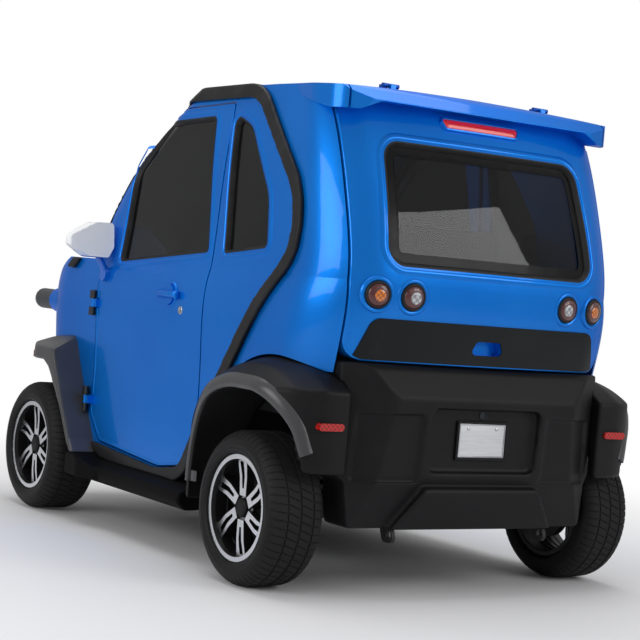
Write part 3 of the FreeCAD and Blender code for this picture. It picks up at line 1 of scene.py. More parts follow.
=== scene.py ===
"""Looks of a small four-wheeled electric city car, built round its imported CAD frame.

Every length is in metres, in the CAD's own frame: +X forward, +Y to the car's left, +Z up, ground at zero.
"""
import logging
import math
from dataclasses import dataclass, field
from enum import Enum
from typing import Callable, Iterable, Sequence

import bmesh
import bpy
import numpy as np
from mathutils import Matrix, Vector
from mathutils.bvhtree import BVHTree


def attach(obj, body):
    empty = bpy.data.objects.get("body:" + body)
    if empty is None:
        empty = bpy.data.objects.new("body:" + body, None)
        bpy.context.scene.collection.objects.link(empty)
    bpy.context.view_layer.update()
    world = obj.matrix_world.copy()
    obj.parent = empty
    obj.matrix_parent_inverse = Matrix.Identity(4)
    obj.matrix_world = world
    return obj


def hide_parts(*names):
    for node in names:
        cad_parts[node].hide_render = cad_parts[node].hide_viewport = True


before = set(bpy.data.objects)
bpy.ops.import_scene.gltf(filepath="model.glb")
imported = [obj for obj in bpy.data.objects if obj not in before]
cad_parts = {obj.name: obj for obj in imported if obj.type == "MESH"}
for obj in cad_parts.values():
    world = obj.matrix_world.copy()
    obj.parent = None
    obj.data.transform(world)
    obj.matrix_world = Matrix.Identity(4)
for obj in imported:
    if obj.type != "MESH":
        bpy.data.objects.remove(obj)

logging.basicConfig(level=logging.INFO, format="%(message)s")
LOG = logging.getLogger("city_car")

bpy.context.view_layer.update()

REAR_AXLE_X = -0.795
FRONT_AXLE_X = 0.705
WHEEL_Y = 0.605
TYRE_RADIUS = 0.233

Colour = tuple[float, float, float]


class Side(Enum):
    """Side of the car, with the sign of its Y."""

    LEFT = 1
    RIGHT = -1

    @property
    def word(self) -> str:
        """The side's name in lower case."""
        return self.name.lower()


class End(Enum):
    """End of the car, with the place of its axle."""

    FRONT = FRONT_AXLE_X
    REAR = REAR_AXLE_X

    @property
    def word(self) -> str:
        """The end's name in lower case."""
        return self.name.lower()


def srgb(red: float, green: float, blue: float) -> Colour:
    """Linear colour of an 8-bit screen colour.

    Args:
        red, green, blue: Screen values from 0 to 255.

    Returns:
        The linear colour.
    """
    def channel(value: float) -> float:
        share = value / 255
        return share / 12.92 if share <= 0.04045 else ((share + 0.055) / 1.055) ** 2.4

    return channel(red), channel(green), channel(blue)


def from_rear(corners: Sequence[tuple[float, float, float]]) -> list[tuple[float, float, float]]:
    """Side outline measured from the rear axle in millimetres, as places in metres."""
    return [(REAR_AXLE_X + x / 1000, z / 1000, corner / 1000) for x, z, corner in corners]


def rounded(corners: Sequence[tuple[float, float, float]], step: float = 0.008,
            closed: bool = True) -> list[tuple[float, float]]:
    """Outline with round corners as evenly spaced points.

    Args:
        corners: Two coordinates and the corner's radius, in metres.
        step: Spacing of the points.
        closed: Whether the outline returns to its start.

    Returns:
        The points.
    """
    points: list[np.ndarray] = []
    count = len(corners)
    for i, (a, b, radius) in enumerate(corners):
        here = np.array((a, b), float)
        if radius <= 0 or (not closed and i in (0, count - 1)):
            points.append(here)
            continue
        back = np.array(corners[i - 1][:2]) - here
        ahead = np.array(corners[(i + 1) % count][:2]) - here
        back /= np.linalg.norm(back)
        ahead /= np.linalg.norm(ahead)
        half = math.acos(float(np.clip(back @ ahead, -1, 1))) / 2
        middle = (back + ahead) / np.linalg.norm(back + ahead)
        centre = here + middle * radius / math.sin(half)
        start = here + back * radius / math.tan(half) - centre
        end = here + ahead * radius / math.tan(half) - centre
        turn = math.atan2(start[0] * end[1] - start[1] * end[0], float(start @ end))
        pieces = max(2, int(abs(turn) * radius / step) + 1)
        for k in range(pieces + 1):
            cos, sin = math.cos(turn * k / pieces), math.sin(turn * k / pieces)
            arm = (start[0] * cos - start[1] * sin, start[0] * sin + start[1] * cos)
            points.append(centre + np.array(arm))
    path = np.array(points + (points[:1] if closed else []))
    lengths = np.concatenate(([0.0], np.cumsum(np.linalg.norm(np.diff(path, axis=0), axis=1))))
    number = max(8, round(lengths[-1] / step))
    places = np.linspace(0.0, lengths[-1], number + 1)
    if closed:
        places = places[:-1]
    first, second = (np.interp(places, lengths, path[:, k]).tolist() for k in (0, 1))
    return list(zip(first, second))


class Look(Enum):
    """Direction from which an outline is laid on the body."""

    SIDE = "side"
    TAIL = "tail"

    def ray(self, a: float, b: float) -> tuple[Vector, Vector]:
        """Start and direction of the ray through a point of the outline."""
        if self is Look.SIDE:
            return Vector((a, 2.0, b)), Vector((0, -1, 0))
        return Vector((-3.0, a, b)), Vector((1, 0, 0))

    def lift(self, away: Vector) -> Vector:
        """Direction in the outline's plane as a direction of the car."""
        return Vector((away.x, 0, away.y)) if self is Look.SIDE else Vector((0, away.x, away.y))


@dataclass
class Blank:
    """Points and faces of a shape before it becomes a piece."""

    points: list[Vector] = field(default_factory=list)
    faces: list[tuple[int, ...]] = field(default_factory=list)

    def __add__(self, other: "Blank") -> "Blank":
        """Both shapes together."""
        shift = len(self.points)
        shifted = [tuple(i + shift for i in face) for face in other.faces]
        return Blank(self.points + other.points, self.faces + shifted)

    def mirrored(self) -> "Blank":
        """The same shape on the car's other side."""
        return Blank([Vector((p.x, -p.y, p.z)) for p in self.points], list(self.faces))

    def on(self, side: Side) -> "Blank":
        """A left-hand shape on the named side."""
        return self if side is Side.LEFT else self.mirrored()

    def moved(self, shift: Sequence[float]) -> "Blank":
        """The shape at another place."""
        return Blank([p + Vector(shift) for p in self.points], list(self.faces))


def grid(rows: Sequence[Sequence[Vector]], ring: bool, loop: bool, caps: bool = False) -> Blank:
    """Faces between rows of points.

    Args:
        rows: Rows of as many points each.
        ring: Whether the last row joins the first.
        loop: Whether each row closes on itself.
        caps: Whether the first and last rows are filled.

    Returns:
        The shape.
    """
    count, width = len(rows), len(rows[0])
    points = [p for row in rows for p in row]
    faces: list[tuple[int, ...]] = []
    for i in range(count if ring else count - 1):
        for j in range(width if loop else width - 1):
            onward, beside = (i + 1) % count, (j + 1) % width
            faces.append((i * width + j, onward * width + j, onward * width + beside, i * width + beside))
    if caps:
        faces.append(tuple(range(width)))
        faces.append(tuple((count - 1) * width + j for j in range(width)))
    return Blank(points, faces)


def lathed(profile: Sequence[tuple[float, float]], centre: Sequence[float], axis: Sequence[float],
           segments: int = 48) -> Blank:
    """Closed shape turned about an axis.

    Args:
        profile: Offsets along the axis with radii; ends at radius zero close the shape.
        centre: Place on the axis.
        axis: Direction of the axis.
        segments: Steps round the axis.

    Returns:
        The shape.
    """
    along = Vector(axis).normalized()
    side = along.orthogonal().normalized()
    up = along.cross(side)
    middle = Vector(centre)
    rows = []
    for k in range(segments):
        angle = 2 * math.pi * k / segments
        out = side * math.cos(angle) + up * math.sin(angle)
        rows.append([middle + along * a + out * r for a, r in profile])
    return grid(rows, True, False)


def plank(low: Sequence[float], high: Sequence[float], soft: float) -> Blank:
    """Block with chamfered edges."""
    middle = [(a + b) / 2 for a, b in zip(low, high)]
    half = [(b - a) / 2 for a, b in zip(low, high)]
    shape = bmesh.new()
    bmesh.ops.create_cube(shape, size=2.0)
    for vert in shape.verts:
        vert.co = Vector(m + c * h for m, c, h in zip(middle, vert.co, half))
    bmesh.ops.bevel(shape, geom=shape.edges[:], offset=soft, segments=3, profile=0.5, affect="EDGES")
    shape.verts.index_update()
    made = Blank([v.co.copy() for v in shape.verts], [tuple(v.index for v in f.verts) for f in shape.faces])
    shape.free()
    return made


def bezel(depth: tuple[float, float], z: float, outer: tuple[float, float, float], inner: tuple[float, float],
          soft: float) -> Blank:
    """Four planks round a plate that faces along X.

    Args:
        depth: Rear and front face.
        z: Height of the plate's middle.
        outer: Half width, bottom and top of the outside, from the middle.
        inner: Half width and half height of the inside.
        soft: Width of the chamfers.

    Returns:
        The planks.
    """
    wide, bottom, top = outer
    y, high = inner
    made = Blank()
    for y0, y1, z0, z1 in ((-wide, wide, bottom, -high), (-wide, wide, high, top), (-wide, -y, -high, high),
                           (y, wide, -high, high)):
        made += plank((depth[0], y0, z + z0), (depth[1], y1, z + z1), soft)
    return made


class Signal:
    """One output socket of a shader node, with arithmetic that adds Math nodes."""

    def __init__(self, graph: "ShaderGraph", socket: bpy.types.NodeSocket) -> None:
        """Wraps a socket of the graph."""
        self.graph = graph
        self.socket = socket

    def _math(self, operation: str, left: "Signal | float", right: "Signal | float") -> "Signal":
        """A Math node on two values."""
        return self.graph.node("ShaderNodeMath", {"operation": operation}, {0: left, 1: right})

    def __add__(self, other: "Signal | float") -> "Signal":
        """Sum."""
        return self._math("ADD", self, other)

    __radd__ = __add__

    def __sub__(self, other: "Signal | float") -> "Signal":
        """Difference."""
        return self._math("SUBTRACT", self, other)

    def __rsub__(self, other: float) -> "Signal":
        """Difference from a number."""
        return self._math("SUBTRACT", other, self)

    def __mul__(self, other: "Signal | float") -> "Signal":
        """Product."""
        return self._math("MULTIPLY", self, other)

    __rmul__ = __mul__

    def __pow__(self, power: float) -> "Signal":
        """Power."""
        return self._math("POWER", self, power)

    def __abs__(self) -> "Signal":
        """Size without sign."""
        return self.graph.node("ShaderNodeMath", {"operation": "ABSOLUTE"}, {0: self})

    def step(self, low: float, high: float) -> "Signal":
        """Smooth ramp from 0 at low to 1 at high."""
        kind = {"interpolation_type": "SMOOTHSTEP"}
        return self.graph.node("ShaderNodeMapRange", kind, {"Value": self, 1: low, 2: high, 3: 0.0, 4: 1.0})

    def wave(self) -> "Signal":
        """Sine."""
        return self.graph.node("ShaderNodeMath", {"operation": "SINE"}, {0: self})


class ShaderGraph:
    """Material whose nodes are written as expressions."""

    def __init__(self, name: str, owner: bpy.types.World | None = None) -> None:
        """Starts an empty material, or clears the nodes of a world."""
        self.material = owner or bpy.data.materials.new(name)
        self.material.use_nodes = True
        self.tree = self.material.node_tree
        self.tree.nodes.clear()
        self._coordinates: Signal | None = None

    def node(self, kind: str, settings: dict | None = None, inputs: dict | None = None,
             output: int | str = 0) -> Signal:
        """Any node of the shader tree.

        Args:
            kind: The node's type.
            settings: Attributes that are set first.
            inputs: Values or signals by socket name or number.
            output: The output that is returned.

        Returns:
            The node's output.
        """
        made = self.tree.nodes.new(kind)
        for name, value in (settings or {}).items():
            setattr(made, name, value)
        for key, value in (inputs or {}).items():
            socket = made.inputs[key]
            if isinstance(value, Signal):
                self.tree.links.new(value.socket, socket)
            elif isinstance(value, tuple) and socket.type == "RGBA":
                socket.default_value = (*value, 1.0)
            else:
                socket.default_value = value
        return Signal(self, made.outputs[output])

    def place(self) -> Signal:
        """Object coordinates, which are the car's own."""
        if self._coordinates is None:
            self._coordinates = self.node("ShaderNodeTexCoord", output="Object")
        return self._coordinates

    def axis(self, name: str) -> Signal:
        """One coordinate of the place, in metres."""
        return self.node("ShaderNodeSeparateXYZ", {}, {0: self.place()}, output=name)

    def stretched(self, scale: tuple[float, float, float]) -> Signal:
        """The place, scaled along each axis."""
        return self.node("ShaderNodeMapping", {}, {"Vector": self.place(), "Scale": scale})

    def axle_radius(self) -> Signal:
        """Distance from the line of the nearer axle."""
        x = self.axis("X")
        front = self.node("ShaderNodeMath", {"operation": "GREATER_THAN"}, {0: x, 1: 0.0})
        along = x - (front * (FRONT_AXLE_X - REAR_AXLE_X) + REAR_AXLE_X)
        up = self.axis("Z") - TYRE_RADIUS
        return (along * along + up * up) ** 0.5

    def noise(self, scale: float, detail: float = 2.0, roughness: float = 0.5,
              vector: Signal | None = None) -> Signal:
        """Noise from 0 to 1 at a number of bumps per metre."""
        where = vector or self.place()
        inputs = {"Vector": where, "Scale": scale, "Detail": detail, "Roughness": roughness}
        return self.node("ShaderNodeTexNoise", {}, inputs)

    def cells(self, scale: float, feature: str = "F1") -> Signal:
        """Distance to the nearest point of a cell pattern."""
        inputs = {"Vector": self.place(), "Scale": scale}
        return self.node("ShaderNodeTexVoronoi", {"feature": feature}, inputs)

    def blend(self, mask: "Signal | float", low: "Signal | Colour", high: "Signal | Colour") -> Signal:
        """Colour between two colours."""
        return self.node("ShaderNodeMix", {"data_type": "RGBA"}, {0: mask, 6: low, 7: high}, output=2)

    def bump(self, height: Signal, distance: float, strength: float) -> Signal:
        """Normal from a height map; distance is the relief in metres."""
        return self.node("ShaderNodeBump", {}, {"Height": height, "Distance": distance, "Strength": strength})

    def surface(self, **inputs: "Signal | float | Colour") -> None:
        """Principled shader on the output; underscores in names stand for spaces."""
        named = {name.replace("_", " "): value for name, value in inputs.items()}
        self.node_output(self.node("ShaderNodeBsdfPrincipled", {}, named))

    def node_output(self, shader: Signal) -> None:
        """Puts a shader on the material's output."""
        out = self.tree.nodes.new("ShaderNodeOutputMaterial")
        self.tree.links.new(shader.socket, out.inputs["Surface"])


@dataclass(frozen=True)
class Recipe:
    """Finish that can be made as a material."""

    name: str

    def draw(self, g: ShaderGraph) -> None:
        """Lays out the nodes."""
        raise NotImplementedError

    def make(self) -> bpy.types.Material:
        """Builds the material."""
        graph = ShaderGraph(self.name)
        self.draw(graph)
        return graph.material


@dataclass(frozen=True)
class CarPaint(Recipe):
    """Metallic body paint under clear coat, with fine flake and a trace of orange peel."""

    name: str = "body_paint"
    deep: Colour = srgb(0, 93, 192)
    bright: Colour = srgb(14, 140, 236)
    edge: Colour = srgb(60, 160, 255)

    def draw(self, g: ShaderGraph) -> None:
        """Lays out the nodes."""
        flake = g.cells(2600.0).step(0.25, 0.75)
        drift = g.noise(2.2, 3.0)
        tone = flake * 0.35 + drift * 0.5
        peel = g.noise(420.0, 1.0)
        dust = g.noise(36.0, 4.0, 0.6).step(0.45, 0.8)
        g.surface(
            Base_Color=g.blend(tone, self.deep, self.bright),
            Metallic=0.58,
            Roughness=0.36 + 0.05 * dust,
            Specular_IOR_Level=0.15,
            Specular_Tint=self.edge,
            Coat_Weight=0.35,
            Coat_Roughness=0.05,
            Normal=g.bump(peel, 0.00012, 0.35),
        )


@dataclass(frozen=True)
class MouldedPlastic(Recipe):
    """Injection-moulded plastic with a leathery grain."""

    shade: Colour = srgb(15, 15, 17)
    gloss: float = 0.42
    grain: float = 900.0
    relief: float = 0.00022
    shine: float = 0.18

    def draw(self, g: ShaderGraph) -> None:
        """Lays out the nodes."""
        pebble = g.cells(self.grain, "SMOOTH_F1")
        fine = g.noise(self.grain * 2.4, 2.0)
        wear = g.noise(6.0, 5.0, 0.62)
        low = self.shade
        high = tuple(c * 1.5 + 0.003 for c in self.shade)
        g.surface(
            Base_Color=g.blend(wear.step(0.35, 0.8) * 0.6 + fine * 0.25, low, high),
            Roughness=self.gloss + 0.12 * wear,
            Specular_IOR_Level=self.shine,
            Normal=g.bump(pebble * 0.8 + fine * 0.2, self.relief, 0.8),
        )


@dataclass(frozen=True)
class SoftRubber(Recipe):
    """Dense black rubber with faint moulding streaks."""

    shade: Colour = srgb(21, 21, 23)
    gloss: float = 0.46

    def draw(self, g: ShaderGraph) -> None:
        """Lays out the nodes."""
        skin = g.noise(1500.0, 3.0, 0.6)
        bloom = g.noise(14.0, 4.0, 0.6)
        high = tuple(c * 2.0 + 0.006 for c in self.shade)
        g.surface(
            Base_Color=g.blend(bloom.step(0.4, 0.85), self.shade, high),
            Roughness=self.gloss + 0.14 * bloom,
            Specular_IOR_Level=0.3,
            Normal=g.bump(skin, 0.0002, 0.5),
        )


@dataclass(frozen=True)
class TyreRubber(Recipe):
    """Tyre compound: satin walls with fine rings round each axle and a duller tread."""

    name: str = "tyre_rubber"
    shade: Colour = srgb(14, 14, 15)

    def draw(self, g: ShaderGraph) -> None:
        """Lays out the nodes."""
        radius = g.axle_radius()
        rings = (radius * 1900.0).wave()
        tread = radius.step(0.212, 0.226)
        film = g.noise(9.0, 5.0, 0.65)
        skin = g.noise(1300.0, 3.0, 0.6)
        scuffed = tuple(c * 2.6 + 0.008 for c in self.shade)
        g.surface(
            Base_Color=g.blend(tread * 0.45 + film.step(0.45, 0.9) * 0.35, self.shade, scuffed),
            Roughness=0.47 + 0.22 * tread + 0.10 * film,
            Specular_IOR_Level=0.22,
            Normal=g.bump(rings * 0.18 * (1 - tread) + skin * 0.5, 0.0003, 0.7),
        )


@dataclass(frozen=True)
class Metal(Recipe):
    """Bare, cast or plated metal with fine grain."""

    shade: Colour = srgb(176, 178, 182)
    gloss: float = 0.30
    grain: float = 300.0
    relief: float = 0.00015
    metallic: float = 1.0

    def draw(self, g: ShaderGraph) -> None:
        """Lays out the nodes."""
        tooth = g.noise(self.grain, 4.0, 0.6)
        cloud = g.noise(11.0, 4.0, 0.6)
        dark = tuple(c * 0.62 for c in self.shade)
        g.surface(
            Base_Color=g.blend(cloud.step(0.3, 0.75), dark, self.shade),
            Metallic=self.metallic,
            Roughness=self.gloss + 0.16 * cloud,
            Normal=g.bump(tooth, self.relief, 0.5),
        )


@dataclass(frozen=True)
class MirrorShell(Recipe):
    """Mirror housing: bright shell on an arm in body colour."""

    name: str = "mirror_shell"
    arm: Colour = srgb(0, 93, 192)
    shell: Colour = srgb(250, 251, 252)
    arm_top: float = 0.945

    def draw(self, g: ShaderGraph) -> None:
        """Lays out the nodes."""
        high = g.axis("Z").step(self.arm_top, self.arm_top + 0.002)
        g.surface(
            Base_Color=g.blend(high, self.arm, self.shell),
            Roughness=0.10 + 0.05 * g.noise(40.0, 3.0),
            Specular_IOR_Level=0.7,
            Normal=g.bump(g.noise(900.0, 2.0), 0.00003, 0.3),
        )


@dataclass(frozen=True)
class HingeSteel(Recipe):
    """Hinge leaves: dark steel at the doors, body colour at the tailgate."""

    name: str = "hinge_steel"
    steel: Colour = srgb(48, 50, 53)
    painted: Colour = srgb(2, 76, 168)

    def draw(self, g: ShaderGraph) -> None:
        """Lays out the nodes."""
        high = g.axis("Z").step(1.30, 1.34)
        cloud = g.noise(14.0, 4.0, 0.6)
        g.surface(
            Base_Color=g.blend(high, self.steel, self.painted),
            Metallic=0.6,
            Roughness=0.36 + 0.10 * cloud,
            Normal=g.bump(g.noise(320.0, 3.0), 0.0001, 0.4),
        )


@dataclass(frozen=True)
class MachinedAlloy(Recipe):
    """Alloy wheel: bright turned faces where the metal looks outwards, black paint on all the rest."""

    name: str = "machined_alloy"
    bright: Colour = srgb(214, 216, 220)
    pocket: Colour = srgb(17, 17, 19)

    def draw(self, g: ShaderGraph) -> None:
        """Lays out the nodes."""
        normal = g.node("ShaderNodeTexCoord", output="Normal")
        facing = abs(g.node("ShaderNodeSeparateXYZ", {}, {0: normal}, output="Y"))
        outward = abs(g.axis("Y"))
        bare = facing.step(0.80, 0.95) * outward.step(WHEEL_Y + 0.030, WHEEL_Y + 0.042)
        turned = (g.axle_radius() * 9000.0).wave()
        haze = g.noise(40.0, 4.0, 0.6)
        g.surface(
            Base_Color=g.blend(bare, self.pocket, self.bright),
            Metallic=bare * 0.95,
            Roughness=0.34 - 0.14 * bare + 0.08 * haze,
            Normal=g.bump(turned * bare, 0.00003, 0.5),
        )


@dataclass(frozen=True)
class TintedGlass(Recipe):
    """Tinted safety glass; the tint is the share of light that it stops."""

    tint: float
    shade: Colour = srgb(9, 10, 11)
    shine: float = 0.55

    def draw(self, g: ShaderGraph) -> None:
        """Lays out the nodes."""
        smear = g.noise(3.2, 4.0, 0.6, g.stretched((1.0, 1.0, 3.0)))
        g.surface(
            Base_Color=g.blend(smear.step(0.4, 0.9) * 0.3, self.shade, srgb(30, 33, 35)),
            Roughness=0.02 + 0.03 * smear.step(0.5, 0.9),
            Specular_IOR_Level=self.shine,
            Alpha=self.tint + 0.04 * smear,
        )


@dataclass(frozen=True)
class LampLens(Recipe):
    """Coloured lamp plastic with moulded optics behind a glossy face."""

    shade: Colour
    glow: float = 0.0
    pitch: float = 420.0

    def draw(self, g: ShaderGraph) -> None:
        """Lays out the nodes."""
        ribs = (g.axis("Y") * self.pitch).wave() * (g.axis("Z") * self.pitch).wave()
        # The rib troughs get a darker copy of the lens colour: painted shade in the optics' hollows.
        depth = tuple(c * 0.42 for c in self.shade)
        g.surface(
            Base_Color=g.blend(ribs.step(-0.6, 0.8), depth, self.shade),
            Roughness=0.10 + 0.05 * g.noise(60.0, 3.0),
            Coat_Weight=0.8,
            Coat_Roughness=0.03,
            Emission_Color=self.shade,
            Emission_Strength=self.glow,
            Normal=g.bump(ribs, 0.0004, 0.6),
        )


@dataclass(frozen=True)
class SeatCover(Recipe):
    """Leatherette with pores and soft creases."""

    name: str = "seat_cover"
    shade: Colour = srgb(34, 34, 37)

    def draw(self, g: ShaderGraph) -> None:
        """Lays out the nodes."""
        pores = g.cells(620.0, "SMOOTH_F1")
        crease = g.noise(34.0, 5.0, 0.66)
        rubbed = tuple(c * 1.9 + 0.01 for c in self.shade)
        g.surface(
            Base_Color=g.blend(crease.step(0.42, 0.85), self.shade, rubbed),
            Roughness=0.50 + 0.12 * crease,
            Sheen_Weight=0.15,
            Normal=g.bump(pores * 0.55 + crease * 0.45, 0.0005, 0.6),
        )


@dataclass(frozen=True)
class PlateSheet(Recipe):
    """Blank pressed plate: brushed pale sheet with a worn edge."""

    name: str = "blank_plate"
    shade: Colour = srgb(222, 223, 226)

    def draw(self, g: ShaderGraph) -> None:
        """Lays out the nodes."""
        brushed = g.noise(160.0, 4.0, 0.6, g.stretched((1.0, 0.04, 1.0)))
        cloud = g.noise(18.0, 4.0, 0.6)
        grey = tuple(c * 0.72 for c in self.shade)
        g.surface(
            Base_Color=g.blend(brushed.step(0.3, 0.7) * 0.5 + cloud * 0.3, self.shade, grey),
            Metallic=0.35,
            Roughness=0.30 + 0.12 * cloud,
            Normal=g.bump(brushed, 0.00008, 0.5),
        )


class Finishes:
    """Every finish of the car, made once."""

    def __init__(self) -> None:
        """Builds the materials and keeps them by name."""
        recipes = (
            CarPaint(),
            MouldedPlastic("black_trim"),
            # Lighter, glossier copy of the black trim for the front fenders and arch flares; its grey is
            # painted highlight for the light on their faces and rolled edges.
            MouldedPlastic("satin_trim", srgb(56, 56, 58), 0.24, 1400.0, 0.00006, 0.5),
            MouldedPlastic("gate_trim", srgb(9, 14, 16), 0.20, 1300.0, 0.00006, 0.2),
            MirrorShell(),
            # Darker copy of the black trim for the sills: painted shade along the low sides of the car.
            MouldedPlastic("sill_trim", srgb(6, 6, 7), 0.5, 900.0, 0.00022, 0.06),
            HingeSteel(),
            MouldedPlastic("cabin_trim", srgb(26, 26, 28), 0.55, 700.0),
            MouldedPlastic("lamp_body", srgb(58, 60, 63), 0.36, 1100.0, 0.0001),
            SoftRubber("black_rubber"),
            TyreRubber(),
            Metal("painted_frame", srgb(34, 35, 37), 0.48, 500.0, 0.0003, 0.25),
            Metal("cast_alloy", srgb(138, 140, 144), 0.44, 420.0, 0.0004, 0.9),
            Metal("dark_steel", srgb(64, 66, 70), 0.38),
            MachinedAlloy(),
            TintedGlass("side_tint", 0.93, srgb(7, 8, 9), 0.26),
            TintedGlass("gate_tint", 0.42),
            TintedGlass("screen_tint", 0.22),
            # The red reflectors are no lamps; their faint emission is a painted glow.
            LampLens("red_lens", srgb(196, 26, 22), 0.05),
            LampLens("deep_red_lens", srgb(92, 12, 12), 0.0, 1500.0),
            LampLens("stop_lens", srgb(232, 34, 34), 0.25, 900.0),
            LampLens("amber_lens", srgb(222, 122, 40), 0.04),
            LampLens("clear_lens", srgb(205, 208, 212), 0.03),
            LampLens("silver_lens", srgb(188, 190, 196), 0.02, 300.0),
            SeatCover(),
            PlateSheet(),
            MouldedPlastic("glass_border", srgb(9, 9, 10), 0.16, 1500.0, 0.00002),
            Metal("satin_chrome", srgb(196, 198, 204), 0.16, 160.0, 0.00003),
        )
        self.made = {recipe.name: recipe.make() for recipe in recipes}

    def __getitem__(self, name: str) -> bpy.types.Material:
        """The material of a finish."""
        return self.made[name]


@dataclass
class Workshop:
    """Makes, dresses and mounts pieces on the CAD's bodies."""

    finishes: Finishes

    def piece(self, name: str, vertices: Iterable[Sequence[float]], faces: Iterable[Sequence[int]],
              smooth: float | None = 40.0, weld: float = 1e-5) -> bpy.types.Object:
        """New mesh object with outward faces.

        Args:
            name: The piece's name.
            vertices: Points in metres.
            faces: Faces as indices into the points.
            smooth: Largest angle that still shades smoothly, or None for flat faces.
            weld: Distance under which points are merged.

        Returns:
            The object.
        """
        mesh = bpy.data.meshes.new(name)
        mesh.from_pydata([tuple(v) for v in vertices], [], [tuple(f) for f in faces])
        shape = bmesh.new()
        shape.from_mesh(mesh)
        bmesh.ops.remove_doubles(shape, verts=shape.verts, dist=weld)
        bmesh.ops.recalc_face_normals(shape, faces=shape.faces)
        shape.to_mesh(mesh)
        shape.free()
        made = bpy.data.objects.new(name, mesh)
        bpy.context.scene.collection.objects.link(made)
        self.shade(made, smooth)
        return made

    def make(self, name: str, blank: Blank, body: str, finish: str, slot: str,
             replaces: Sequence[str] = (), smooth: float = 40.0) -> bpy.types.Object:
        """Turns a blank into a dressed piece on a body."""
        made = self.piece(name, blank.points, blank.faces, smooth)
        return self.mount(made, body, finish, slot, replaces)

    def surface_of(self, node: str) -> BVHTree:
        """Search tree of a CAD node's surface."""
        shape = self.cad_copy(node)
        tree = BVHTree.FromBMesh(shape)
        shape.free()
        return tree

    def strip(self, node: str, corners: Sequence[tuple[float, float, float]], look: Look,
              profile: Sequence[tuple[float, float]], reach: float, closed: bool = True,
              step: float = 0.008) -> Blank:
        """Moulded strip that follows an outline on a panel.

        Args:
            node: The panel.
            corners: The outline.
            look: Direction from which the outline is laid on.
            profile: The strip's section: away from the outline's inside, and out of the panel.
            reach: How far outside the outline the panel's surface is read.
            closed: Whether the outline is closed.
            step: Spacing of the sections.

        Returns:
            The strip.
        """
        tree = self.surface_of(node)
        points = rounded(corners, step, closed)
        count = len(points)
        area = sum(p[0] * q[1] - q[0] * p[1] for p, q in zip(points, points[1:] + points[:1]))
        sense = 1.0 if area > 0 else -1.0
        found: list[tuple[Vector, Vector, Vector]] = []
        depth, facing = None, None
        for i, (a, b) in enumerate(points):
            before = points[i - 1] if closed or i else points[0]
            after = points[(i + 1) % count] if closed or i < count - 1 else points[-1]
            away = Vector((after[1] - before[1], before[0] - after[0])).normalized() * sense
            start, ray = look.ray(a + away.x * reach, b + away.y * reach)
            hit, normal, _, distance = tree.ray_cast(start, ray)
            if hit is None:
                if depth is None:
                    continue
                hit, normal, distance = start + ray * depth, facing, depth
            elif normal.dot(ray) > 0:
                normal = -normal
            depth, facing = distance, normal
            found.append((hit, normal, look.lift(away)))
        size = len(found)
        rows = []
        for i, (hit, _, lift) in enumerate(found):
            beside = range(i - 3, i + 4)
            near = [found[k % size if closed else min(max(k, 0), size - 1)][1] for k in beside]
            normal = sum(near, Vector()).normalized()
            across = (lift - normal * lift.dot(normal)).normalized()
            foot = hit - across * reach
            rows.append([foot + across * a + normal * b for a, b in profile])
        return grid(rows, closed, True, not closed)

    def shade(self, made: bpy.types.Object, smooth: float | None) -> None:
        """Smooth shading up to an angle in degrees."""
        mesh = made.data
        mesh.polygons.foreach_set("use_smooth", [smooth is not None] * len(mesh.polygons))
        if smooth is not None and smooth < 179:
            mesh.set_sharp_from_angle(angle=math.radians(smooth))
        mesh.update()

    def mount(self, made: bpy.types.Object, body: str, finish: str, slot: str,
              replaces: Sequence[str] = ()) -> bpy.types.Object:
        """Dresses a finished piece and lets it ride on a body.

        Args:
            made: The piece.
            body: The CAD body that carries it.
            finish: The finish on its first slot, kept if it has one already.
            slot: The record's material slot; not used.
            replaces: CAD nodes that it stands for.

        Returns:
            The piece.
        """
        if not made.data.materials:
            made.data.materials.append(self.finishes[finish])
        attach(made, body)
        if replaces:
            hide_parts(*replaces)
        LOG.info("piece %s on %s: %d faces", made.name, body, len(made.data.polygons))
        return made

    def dress(self, node: str, finish: str) -> None:
        """Puts a finish on a CAD node."""
        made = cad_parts[node]
        for own in made.material_slots:
            own.material = self.finishes[finish]

    def cad_copy(self, node: str, keep: Callable[[Vector], bool] | None = None) -> bmesh.types.BMesh:
        """Merged copy of a CAD node's mesh.

        Args:
            node: The node.
            keep: Chooses the loose parts to keep by the middle of their box.

        Returns:
            The mesh, which the caller frees.
        """
        shape = bmesh.new()
        shape.from_mesh(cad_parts[node].data)
        bmesh.ops.remove_doubles(shape, verts=shape.verts, dist=2e-5)
        if keep is not None:
            unseen = set(shape.verts)
            gone: list[bmesh.types.BMVert] = []
            while unseen:
                part = [unseen.pop()]
                for vert in part:
                    for edge in vert.link_edges:
                        other = edge.other_vert(vert)
                        if other in unseen:
                            unseen.remove(other)
                            part.append(other)
                points = np.array([v.co for v in part])
                if not keep(Vector((points.min(0) + points.max(0)) / 2)):
                    gone += part
            bmesh.ops.delete(shape, geom=gone, context="VERTS")
        return shape

    def softened(self, node: str, name: str, voxel: float, rounds: int,
                 keep: Callable[[Vector], bool] | None = None) -> bpy.types.Object:
        """Copy of a CAD node with moulded, rounded edges.

        Args:
            node: The node.
            name: The new piece's name.
            voxel: Size of the remesh's cells in metres.
            rounds: Rounds of smoothing.
            keep: Chooses the loose parts to keep by the middle of their box.

        Returns:
            The piece.
        """
        shape = self.cad_copy(node, keep)
        mesh = bpy.data.meshes.new(name)
        shape.to_mesh(mesh)
        shape.free()
        made = bpy.data.objects.new(name, mesh)
        bpy.context.scene.collection.objects.link(made)
        remesh = made.modifiers.new("Remesh", "REMESH")
        remesh.mode = "VOXEL"
        remesh.voxel_size = voxel
        smooth = made.modifiers.new("Smooth", "SMOOTH")
        smooth.factor = 0.5
        smooth.iterations = rounds
        self.apply(made)
        self.shade(made, 180.0)
        return made

